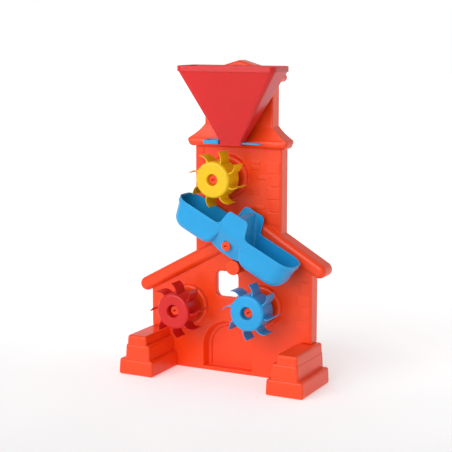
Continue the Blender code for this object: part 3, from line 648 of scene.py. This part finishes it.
def door_outline(inset):
    """The door's arch and sill, moved in by an inset."""
    half = DOOR_HALF - inset
    sill = DOOR_SILL + max(inset, 0.0) * DOOR_SILL_SHARE
    outline = arc(DOOR_X, DOOR_SPRING, half, 0, 180, 40)
    return outline + [(DOOR_X - half, sill), (DOOR_X + half, sill)]


def door_niche():
    """Arched recess: a rounded lip, a slanted jamb, a ledge and the door panel."""
    stations = [(WALL_FRONT - 1, -DOOR_LIP)]
    for sine, cosine in quarter_turn(5):
        stations.append((WALL_FRONT + DOOR_LIP * (1 - cosine), DOOR_LIP * sine - DOOR_LIP))
    ledge = WALL_FRONT + DOOR_LEDGE_DEPTH
    stations += [(ledge, DOOR_BEVEL - 0.5), (ledge, DOOR_BEVEL + 5.0)]
    stations.append((WALL_FRONT + DOOR_DEPTH, DOOR_BEVEL + 6.5))
    return loft([[(x, y, z) for x, z in door_outline(inset)] for y, inset in stations])


def window_hole():
    """Rounded square hole with a rolled front rim, wider behind a web half way through."""
    x0, x1, z0, z1 = WINDOW
    stations = [(WALL_FRONT - 1.0, WINDOW_ROLL)]
    for sine, cosine in quarter_turn(5):
        stations.append((WALL_FRONT + WINDOW_ROLL * (1 - cosine), WINDOW_ROLL * (1 - sine)))
    stations += [(WINDOW_WEB - 2.0, 0.0), (WINDOW_WEB - 0.6, 0.6), (WINDOW_WEB, 2.0)]
    stations += [(WINDOW_WEB, WINDOW_WIDER), (WALL_BACK + PAST, WINDOW_WIDER)]
    rings = []
    for y, grow in stations:
        corner = WINDOW_CORNER + grow
        flat = rounded_ring(x0 - grow, x1 + grow, z0 - grow, z1 + grow, 0.0, (corner, corner), 8)
        rings.append([(x, y, z) for x, z, _ in flat])
    return loft(rings)


def stone(x0, x1, z0, z1, bevel):
    """One flat stone that stands a little out of the wall, its edges rounded."""
    return box(x0, x1, WALL_FRONT - QUOIN_STEP, WALL_FRONT + 4.0, z0, z1, bevel, 2)


def quoins():
    """Corner stones on the right, a flat strip on the tower's left and a few single bricks."""
    stones = []
    for right, (start, height, count) in (
        (HOUSE_RIGHT, HOUSE_COURSES),
        (TOWER_RIGHT, TOWER_COURSES),
    ):
        for i in range(count):
            width = QUOIN_WIDE if i % 2 == 0 else QUOIN_NARROW
            low = start + i * height + QUOIN_JOINT / 2
            high = low + height - QUOIN_JOINT
            stones.append(stone(right - width, right - EDGE, low, high, QUOIN_ROUND))
    stones.append(stone(*TOWER_STRIP, QUOIN_ROUND))
    half_x, half_z = BRICK_HALF
    for x, z in BRICKS:
        stones.append(stone(x - half_x, x + half_x, z - half_z, z + half_z, BRICK_ROUND))
    return stones


def cornice():
    """Rolled ledge under the skirt."""
    x0 = TOWER_X - CORNICE_HALF
    x1 = TOWER_X + CORNICE_HALF
    top = CORNICE_Z + 2 * CORNICE_ROLL
    return box(x0, x1, CORNICE_FRONT, WALL_BACK, CORNICE_Z, top, CORNICE_ROLL - 0.3, 8)


def gable_bar(side):
    """The small roof bar on one side of the tower's top."""
    reach = GABLE_HALF - GABLE_ROLL
    peak = (TOWER_X, TOP - GABLE_ROLL)
    eave = (TOWER_X + side * reach, peak[1] - reach * math.tan(GABLE_SLOPE))
    return roof_bar(eave, peak, GABLE_ROLL, GABLE_FRONT, WALL_BACK, GABLE_ROUND)


def wheel_boss(x, z):
    """Round boss with a soft rim behind one wheel."""
    front = WALL_FRONT - BOSS_HEIGHT
    face = BOSS_RADIUS - BOSS_DRAFT
    return cylinder(x, z, face, front, WALL_FRONT + 1, 72, BOSS_RADIUS, BOSS_ROUND, 8)


def make_tower():
    """House, tower and roofs in one piece, with the window, the door and the pin holes."""
    wheel_axes = [joint_axis(name + "_wheel_spin") for name in WHEELS]
    wall = house_wall()
    low, high = TOWER_FOOT, CORNICE_Z + 6
    tower = [(TOWER_LEFT, low), (TOWER_RIGHT, low), (TOWER_RIGHT, high), (TOWER_LEFT, high)]
    join(wall, prism(tower, WALL_FRONT, WALL_BACK, EDGE))
    for eave in (EAVE_LEFT, EAVE_RIGHT):
        join(wall, roof_bar(eave, RIDGE, ROOF_RADIUS, ROOF_FRONT, WALL_BACK, ROOF_ROUND))
    join(wall, cornice(), flare())
    upper = gable_outline(UPPER_HALF, TOP - UPPER_BELOW_TOP, CORNICE_Z + 12)
    join(wall, prism(upper, WALL_FRONT, WALL_BACK, EDGE))
    join(wall, gable_bar(-1), gable_bar(1))
    join(wall, *[wheel_boss(x, z) for x, z in wheel_axes])
    join(wall, cylinder(*PIVOT, PIVOT_BOSS_RADIUS, PIVOT_BOSS_FRONT, WALL_FRONT + 1))
    join(wall, *quoins())
    cut(wall, door_niche(), window_hole())
    back = WALL_BACK + PAST
    pocket, pocket_depth = NUT_POCKET
    for x, z in [*wheel_axes, PIVOT]:
        cut(wall, cylinder(x, z, PIN_RADIUS + GAP, WALL_FRONT - 30, back, 32))
        cut(wall, cylinder(x, z, pocket, WALL_BACK - pocket_depth, back))
    recess, recess_depth = FOOT_SCREW_RECESS
    for side in ("left", "right"):
        low, high = node_box("foot_screw_" + side)
        middle = (low + high) / 2
        cut(wall, cylinder(middle.x, middle.z, recess, WALL_BACK - recess_depth, back, 32))
    return present(wall, "tower_and_house", "frame", "orange_plastic", "body")


# ---------------------------------------------------------------- feet
def foot_tier(side, tier):
    """One tier of a foot, its sides leaning in a little towards its rounded top."""
    bottom, top, outer_back, inner, front_back = tier
    outer = FOOT_CENTRE + side * (FOOT_OUTER - outer_back)
    x0, x1 = sorted((outer, FOOT_CENTRE + side * inner))
    block = box(x0, x1, FOOT_FRONT + front_back, WALL_BACK, bottom, top, FOOT_ROUND, 5)
    middle = (x0 + x1) / 2 * MM
    for vertex in block.data.vertices:
        lean = (vertex.co.z / MM - bottom) * FOOT_DRAFT * MM
        vertex.co.x += lean if vertex.co.x < middle else -lean
        if vertex.co.y < 0.0:
            vertex.co.y += lean
    return block


def make_foot(name, side):
    """Three stacked tiers, with a notch for the corner of the wall; side is -1 for the left."""
    foot = join(*[foot_tier(side, tier) for tier in FOOT_TIERS])
    slot = SLOT_LEFT if side < 0 else SLOT_RIGHT
    x0, x1 = sorted((FOOT_CENTRE + side * 90.0, slot + side * GAP))
    cut(foot, box(x0, x1, WALL_FRONT - GAP, WALL_BACK + PAST, -PAST, 90.0))
    return present(foot, name + "_stepped_foot", "frame", "orange_plastic", name + "_foot")


# ---------------------------------------------------------------- pins and peg
def make_pin(name, x, z, front):
    """Round head with a slanting screwdriver slot, on a plain shank that runs back to its nut."""
    pin = cylinder(x, z, PIN_HEAD, front, front + PIN_HEAD_THICK, 48, None, 1.0, 4)
    join(pin, cylinder(x, z, PIN_RADIUS, front + 1, WALL_BACK - 2.0, 32))
    half = PIN_RADIUS - 0.2
    back = front + PIN_SLOT
    slot = box(-half, half, front - 1.5, back, -PIN_SLOT_HALF, PIN_SLOT_HALF, 0.3, 2)
    place = Matrix.Translation((x * MM, 0.0, z * MM))
    turn = Matrix.Rotation(math.radians(PIN_SLOT_TURNS[name]), 4, "Y")
    slot.data.transform(place @ turn)
    cut(pin, slot)
    return present(pin, "axle_pin_" + name, "frame", "orange_plastic", "pin_" + name)


def make_peg():
    """Round peg that stops the trough."""
    x, z = PEG
    peg = cylinder(x, z, PEG_RADIUS, PEG_FRONT, WALL_FRONT - GAP, 64, None, PEG_ROUND, 6)
    return present(peg, "trough_stop", "frame", "orange_plastic", "stop_peg")


# ---------------------------------------------------------------- bucket wheels
def blade(x, z, root_angle):
    """One curved paddle, thin and swept in the turning direction, with a rounded tip."""
    front = WHEEL_FRONT + BLADE_SETBACK
    outer = []
    inner = []
    for i in range(BLADE_STEPS + 1):
        t = i / BLADE_STEPS
        radius = HUB_RADIUS - 1.5 + t * (TIP_RADIUS - HUB_RADIUS + 0.8)
        angle = root_angle + BLADE_SWEEP * t - BLADE_SAG * 4 * t * (1 - t) / radius
        flare_out = 1.0 + BLADE_ROOT_FLARE * max(0.0, BLADE_ROOT - t) / BLADE_ROOT
        shift = BLADE_THICK / 2 * (1.0 - BLADE_TAPER * t) * flare_out / radius
        outer.append((radius, angle + shift))
        inner.append((radius, angle - shift))
    tip = [(TIP_RADIUS, outer[-1][1] * 0.7 + inner[-1][1] * 0.3)]
    tip.append((TIP_RADIUS, outer[-1][1] * 0.3 + inner[-1][1] * 0.7))
    outline = outer + tip + inner[::-1]
    points = [(x + r * math.cos(a), z + r * math.sin(a)) for r, a in outline]
    return prism(points, front, front + BLADE_WIDTH, 0.5, 2)


def make_wheel(name):
    """Cup-shaped hub, open at the back, with a tube round the axle and eight paddles."""
    phase, seat, seat_radius, material = WHEELS[name]
    x, z = joint_axis(name + "_wheel_spin")
    skin = HUB_SKIN
    front = WHEEL_FRONT
    back = front + HUB_DEPTH
    sleeve_back = WALL_FRONT - BOSS_HEIGHT - 0.6
    floor = front + seat
    profile = []
    for sine, cosine in quarter_turn(8):
        radius = HUB_RADIUS - HUB_SHOULDER * (1 - sine)
        profile.append((radius, front + HUB_SHOULDER * (1 - cosine)))
    profile += [
        (HUB_RADIUS, back - 0.4),
        (HUB_RADIUS - 0.4, back),
        (HUB_RADIUS - skin, back),
        (HUB_RADIUS - skin, front + skin + 1),
        (seat_radius + skin, front + skin + 1),
        (seat_radius + skin, floor + skin),
        (BORE + skin + 1, floor + skin + 3),
        (BORE + skin, sleeve_back),
        (BORE, sleeve_back),
        (BORE, floor),
        (seat_radius - 0.8, floor),
        (seat_radius, floor - 0.8),
    ]
    mouth = seat_radius + 0.6
    for sine, cosine in quarter_turn(6):
        profile.append((mouth + SEAT_LIP * (1 - cosine), front + SEAT_LIP * (1 - sine)))
    wheel = turned(x, z, profile)
    for i in range(BLADES):
        join(wheel, blade(x, z, math.radians(phase) + 2 * math.pi * i / BLADES))
    present(wheel, name + "_bucket_wheel", name + "_wheel", material, "wheel_" + name)
    make_pin(name, x, z, front + seat - PIN_HEAD_THICK - PIN_HEAD_GAP)


# ---------------------------------------------------------------- tipping trough
def saddle_half(level):
    """Half-width of the hollow under the saddle, which widens downwards."""
    return SADDLE_HALF + (SADDLE_LEVEL - level) * SADDLE_SPREAD


def trough_ring(level, grow, narrow):
    """One level ring of the right-hand trough; grow moves it out, narrow pulls it in all round."""
    lean = max(0.0, ROCKER_BAND - level)
    step = ROCKER_STEP if level < ROCKER_BAND - 0.01 and not grow else 0.0
    pull = narrow - grow
    end = ROCKER_HALF - lean * END_DRAFT - pull - step
    near = saddle_half(level) + pull
    front = ROCKER_FRONT + lean * TROUGH_DRAFT + pull + step
    back = ROCKER_BACK - lean * TROUGH_DRAFT - pull - step
    inner = INNER_ROUND + grow
    return rounded_ring(near, end, front, back, level, (inner, END_ROUND + grow - narrow), 10)


def trough(side, grow, top, bottom):
    """Loft from the rounded rim down to a rounded floor; side is -1 for the left trough."""
    lip = ROCKER_LIP
    if grow:  # the tool that hollows the trough widens over the rounded lip
        levels = [(top, -lip)]
        for sine, cosine in quarter_turn(4):
            levels.append((ROCKER_RIM - lip * (1 - cosine), -lip * (1 - sine)))
    else:
        levels = [(top - lip * (1 - sine), lip * cosine) for sine, cosine in quarter_turn(4)]
        levels.append((ROCKER_BAND, 0.0))
    levels.append((ROCKER_BAND - 0.6, 0.0))
    for sine, cosine in quarter_turn(10):
        levels.append((bottom + FLOOR_ROUND * (1 - sine), FLOOR_ROUND * (1 - cosine)))
    rings = [trough_ring(level, grow, narrow) for level, narrow in levels]
    return loft([[(side * x, y, z) for x, y, z in ring] for ring in rings])


def web_prism(outline, grow, front=True, back=True, bevel=0.0):
    """A prism across the rocker; below the rim band its front and back faces lean inwards."""
    y0 = ROCKER_FRONT if front else ROCKER_MIDDLE - PLATE_OVERLAP
    y1 = ROCKER_BACK if back else ROCKER_MIDDLE + PLATE_OVERLAP
    bm = outline_bmesh(outline, y0, y1)
    if bevel:
        round_edges(bm, front_rim(bm, y0 if front else y1), bevel, 3)
    bmesh.ops.bisect_plane(
        bm,
        geom=bm.verts[:] + bm.edges[:] + bm.faces[:],
        dist=0.001,
        plane_co=(0.0, 0.0, ROCKER_BAND),
        plane_no=(0.0, 0.0, 1.0),
    )
    for vertex in bm.verts:
        drop = max(0.0, ROCKER_BAND - vertex.co.z)
        at_front = vertex.co.y < y0 + bevel + 0.01
        if at_front and front:
            vertex.co.y += WEB_STEP - grow + drop * FRONT_LEAN
        if back and not at_front:
            vertex.co.y -= WEB_STEP - grow + drop * BACK_LEAN
    return solid(bm)


def hump_outline(lower):
    """Front or back plate of the rocker; lower is the right half below the rim."""
    right = arc(HUMP_HALF, HUMP_TOP - HUMP_ROUND, HUMP_ROUND, 90, 10, 10)
    right += arc(HUMP_FOOT_HALF, ROCKER_RIM + HUMP_FOOT_ROUND, HUMP_FOOT_ROUND, 190, 270, 8)
    return mirrored(right + [(PLATE_HALF, ROCKER_RIM - 1.5)] + lower)


def make_rocker():
    """Two deep troughs joined by a hollow saddle between a front and a back plate."""
    stop = PEG_RADIUS + GAP - (PIVOT[1] - PEG[1]) * math.cos(ROCKER_TILT)
    side_edge = [(PLATE_HALF, 10.0), (40.0, -14.0)]
    front_foot = side_edge + [(26.0, -20.0), (10.0, -23.4)]
    back_foot = side_edge + [(32.0, stop)]
    rocker = web_prism(hump_outline(front_foot), 0.0, back=False, bevel=0.9)
    join(rocker, web_prism(hump_outline(back_foot), 0.0, front=False))
    for side in (1, -1):
        join(rocker, trough(side, 0.0, ROCKER_RIM, ROCKER_FLOOR))
    for side in (1, -1):
        floor = ROCKER_FLOOR + ROCKER_SKIN
        cut(rocker, trough(side, -ROCKER_SKIN, ROCKER_RIM + 40.0, floor))
    ridge = arc(0.0, RIDGE_CENTRE, RIDGE_RADIUS, 20, 160, 16)
    shoulder = ridge[0][1]
    half = 16.0
    above = HUMP_TOP + 9.0
    ridge += [(-half, shoulder), (-half, above), (half, above), (half, shoulder)]
    cut(rocker, prism(ridge, ROCKER_FRONT + ROCKER_SKIN, ROCKER_BACK - ROCKER_SKIN))
    under = [(3.2, RIDGE_CENTRE + 4.1)]
    under += [(saddle_half(level) + 0.4, level) for level in (57.0, -45.0)]
    cut(rocker, web_prism(mirrored(under), -ROCKER_SKIN))
    before, behind, wall = PIN_CUP
    cup = PIN_HEAD + 0.5
    tool_front = ROCKER_FRONT - 10
    join(rocker, cylinder(0.0, 0.0, cup + wall, PIN_SEAT - before, PIN_SEAT + behind))
    cut(rocker, cylinder(0.0, 0.0, cup, tool_front, PIN_SEAT))
    cut(rocker, cylinder(0.0, 0.0, BORE, tool_front, ROCKER_BACK + 10, 32))
    place = Matrix.Translation((PIVOT[0] * MM, 0.0, PIVOT[1] * MM))
    rocker.data.transform(place @ Matrix.Rotation(ROCKER_TILT, 4, "Y"))
    present(rocker, "double_trough", "tipping_trough", "blue_plastic", "rocker")
    make_pin("rocker", *PIVOT, PIN_SEAT - PIN_HEAD_THICK - PIN_HEAD_GAP)


# ---------------------------------------------------------------- hopper and gate
def hopper_ring(half_x, front, back, z, radius):
    """One level ring of the hopper; the mouth's middle lies a little right of the spout's."""
    middle = MOUTH_X if z > SPOUT_TOP else HOPPER_X
    return rounded_ring(middle - half_x, middle + half_x, front, back, z, (radius, radius), 8)


def make_hopper():
    """Four-sided funnel with rounded corners, a rolled rim band and a straight spout."""
    skin = HOPPER_SKIN
    spout_front = SPOUT_Y - SPOUT_HALF_Y
    spout_back = SPOUT_Y + SPOUT_HALF_Y
    band = HOPPER_BAND_STEP
    rim = HOPPER_TOP - HOPPER_BAND
    rows = [  # half-width, front, back, height, corner radius
        (SPOUT_HALF_X - 0.4, spout_front + 0.4, spout_back - 0.4, SPOUT_BOTTOM, 4.6),
        (SPOUT_HALF_X, spout_front, spout_back, SPOUT_BOTTOM + 0.4, 5.0),
        (SPOUT_HALF_X, spout_front, spout_back, SPOUT_TOP, 5.0),
        (HOPPER_HALF - band, HOPPER_FRONT + band, HOPPER_BACK - band, rim, 10.0),
        (HOPPER_HALF - 0.5, HOPPER_FRONT + 0.5, HOPPER_BACK - 0.5, rim + 0.1, 11.5),
        (HOPPER_HALF, HOPPER_FRONT, HOPPER_BACK, rim + 0.7, 12.0),
    ]
    lip = skin / 2
    for i in range(9):
        angle = math.pi * i / 8
        inset = lip * (1 - math.cos(angle))
        height = HOPPER_TOP - lip + lip * math.sin(angle)
        front = HOPPER_FRONT + inset
        back = HOPPER_BACK - inset
        rows.append((HOPPER_HALF - inset, front, back, height, 12.0 - inset))
    inner = band + skin
    rows += [
        (HOPPER_HALF - inner, HOPPER_FRONT + inner, HOPPER_BACK - inner, rim, 7.5),
        (SPOUT_HALF_X - skin, spout_front + skin, spout_back - skin, SPOUT_TOP, 2.5),
        (SPOUT_HALF_X - skin, spout_front + skin, spout_back - skin, SPOUT_BOTTOM, 2.5),
    ]
    hopper = loft([hopper_ring(*row) for row in rows], closed=True)
    slot_z = GATE_THICK / 2 + GAP
    slot_y = GATE_WIDTH / 2 + GAP
    slot_front = SPOUT_Y - slot_y
    slot_back = SPOUT_Y + slot_y
    x0 = HOPPER_X - 60
    x1 = HOPPER_X + 60
    cut(hopper, box(x0, x1, slot_front, slot_back, GATE_Z - slot_z, GATE_Z + slot_z))
    pad, pad_depth = HOPPER_PAD
    for x in (HOPPER_X - HOPPER_SCREW_APART, HOPPER_X + HOPPER_SCREW_APART):
        z = HOPPER_SCREW_Z
        join(hopper, cylinder(x, z, pad, HOPPER_BACK - pad_depth, WALL_FRONT - GAP, 32))
        cut(hopper, cylinder(x, z, HOPPER_SCREW_HOLE, HOPPER_BACK - 30, HOPPER_BACK - 5, 32))
    return present(hopper, "funnel", "frame", "red_plastic", "hopper")


def plate(x0, x1, y0, y1, z0, z1, radii, bevel):
    """A flat rounded plate with its top and bottom edges rounded."""
    rings = []
    turn = quarter_turn(3)
    for side, z, angles in ((-1, z0, turn), (1, z1, turn[::-1])):
        for sine, cosine in angles:
            inset = bevel * (1 - sine)
            level = z - side * bevel * (1 - cosine)
            corner = [max(radius - inset, 0.2) for radius in radii]
            rings.append(
                rounded_ring(x0 + inset, x1 - inset, y0 + inset, y1 - inset, level, corner, 8)
            )
    return loft(rings)


def make_gate():
    """Flat slide with a finger loop on the left and a rounded tongue with a port on the right."""
    low = GATE_Z - GATE_THICK / 2
    high = GATE_Z + GATE_THICK / 2
    half = GATE_WIDTH / 2
    spout_left = HOPPER_X - SPOUT_HALF_X
    tongue_end = HOPPER_X + SPOUT_HALF_X + GATE_TRAVEL
    y0 = SPOUT_Y - half
    y1 = SPOUT_Y + half
    tongue_radii = (1.0, half - 0.2)
    gate = plate(spout_left - TONGUE_ROOT, tongue_end, y0, y1, low, high, tongue_radii, 0.6)
    x1 = spout_left - GAP
    x0 = x1 - GRIP_LENGTH
    y0 = SPOUT_Y - GRIP_HALF
    y1 = SPOUT_Y + GRIP_HALF
    join(gate, plate(x0, x1, y0, y1, low - GRIP_BELOW, high + GRIP_ABOVE, (5.0, 2.0), 0.8))
    hole = (low - 5, high + 8)
    cut(gate, loft([rounded_ring(x0 + 3, x1 - 5, y0 + 3, y1 - 3, z, (3.0, 2.0)) for z in hole]))
    x0 = spout_left + GATE_TRAVEL + 4
    x1 = tongue_end - 8
    y0 = SPOUT_Y - half + 2.5
    y1 = SPOUT_Y + half - 2.5
    cut(gate, loft([rounded_ring(x0, x1, y0, y1, z, (4.0, 4.0)) for z in hole]))
    return present(gate, "gate_slide", "gate", "blue_plastic", "slide_gate")


# ---------------------------------------------------------------- camera, light and floor
def aim(item, target):
    """Turns a light so that it shines on the target."""
    direction = Vector(target) - item.location
    item.rotation_euler = direction.to_track_quat("-Z", "Y").to_euler()


def area_light(name, place, target, size, power):
    data = bpy.data.lights.new(name, "AREA")
    data.shape = "RECTANGLE"
    data.size = size[0]
    data.size_y = size[1]
    data.energy = power
    light = new_object(name, data)
    light.location = place
    aim(light, target)


def make_camera():
    """The photo's view: a long lens, from the front right and a little above."""
    data = bpy.data.cameras.new("camera")
    data.lens = CAMERA_LENS
    data.clip_end = 50.0
    camera = new_object("camera", data)
    camera.location = CAMERA_PLACE
    camera.rotation_euler = CAMERA_TURN
    bpy.context.scene.camera = camera


def make_studio():
    """Camera, white room, one large soft light and the floor."""
    make_camera()
    make_world()
    bpy.context.scene.view_settings.view_transform = "Standard"
    area_light("key", KEY_LIGHT_PLACE, OBJECT_MIDDLE, KEY_LIGHT_SIZE, KEY_LIGHT_POWER)
    make_floor()


def make_world():
    """A white room, brightest low down behind the object, dimmer above and where one stands."""
    world = bpy.data.worlds.new("studio")
    world.use_nodes = True
    tree = world.node_tree
    direction = tree.nodes.new("ShaderNodeTexCoord")
    parts = tree.nodes.new("ShaderNodeSeparateXYZ")
    tree.links.new(direction.outputs["Generated"], parts.inputs[0])
    product = tree.nodes.new("ShaderNodeMath")
    product.operation = "MULTIPLY"
    ranges = (("Y", -0.5, 0.3, 0.6, 1.0), ("Z", 0.05, 0.45, 1.0, 0.5))
    for i, (axis, low, high, to_low, to_high) in enumerate(ranges):
        level = tree.nodes.new("ShaderNodeMapRange")
        level.inputs["From Min"].default_value = low
        level.inputs["From Max"].default_value = high
        level.inputs["To Min"].default_value = to_low
        level.inputs["To Max"].default_value = to_high
        tree.links.new(parts.outputs[axis], level.inputs["Value"])
        tree.links.new(level.outputs["Result"], product.inputs[i])
    tree.links.new(product.outputs[0], tree.nodes["Background"].inputs["Strength"])
    tree.nodes["Background"].inputs["Color"].default_value = (*WHITE, 1.0)
    bpy.context.scene.world = world


def make_floor():
    """A white floor that glows a little behind the object, like a lit studio sweep; near the
    camera it is darker, a painted shade.
    """
    bm = bmesh.new()
    bmesh.ops.create_grid(bm, x_segments=8, y_segments=8, size=14.0)
    mesh = bpy.data.meshes.new("floor")
    bm.to_mesh(mesh)
    bm.free()
    floor = new_object("floor", mesh)
    nodes = Nodes("pale_floor")
    place = nodes.add("TexCoord").outputs["Object"]
    depth = nodes.add("SeparateXYZ", {"Vector": place}).outputs["Y"]
    mottle = nodes.spread(nodes.noise(place, scale=3.0), low=0.3, high=0.7)
    pale = nodes.blend(mottle, scaled(WHITE, 0.86), scaled(WHITE, 0.90))
    # Painted shade: the floor turns darker towards the camera, which dims what the front faces
    # reflect.
    near = nodes.spread(depth, low=-1.0, high=-2.2)
    nodes.drive("Base Color", nodes.blend(near, pale, scaled(WHITE, 0.62)))
    close_glow = nodes.spread(depth, low=-0.9, high=0.4, to_high=0.45)
    far_glow = nodes.spread(depth, low=0.4, high=3.0, to_high=0.35)
    nodes.drive("Emission Strength", nodes.maths("ADD", close_glow, far_glow))
    nodes.shader.inputs["Emission Color"].default_value = (*WHITE, 1.0)
    nodes.shader.inputs["Roughness"].default_value = 0.8
    mesh.materials.append(nodes.material)


def dress_hidden_nodes():
    """The small CAD pieces whose shape is right get their finished materials."""
    for name, node in frame["nodes"].items():
        if node.hide_render:
            continue
        material = "zinc_plated_steel" if "screw" in name else "orange_plastic"
        node.data.materials.clear()
        node.data.materials.append(MATERIALS[material])


# ---------------------------------------------------------------- assembly
make_studio()
make_tower()
make_foot("left", -1)
make_foot("right", 1)
make_hopper()
make_gate()
for wheel_name in WHEELS:
    make_wheel(wheel_name)
make_rocker()
make_peg()
dress_hidden_nodes()
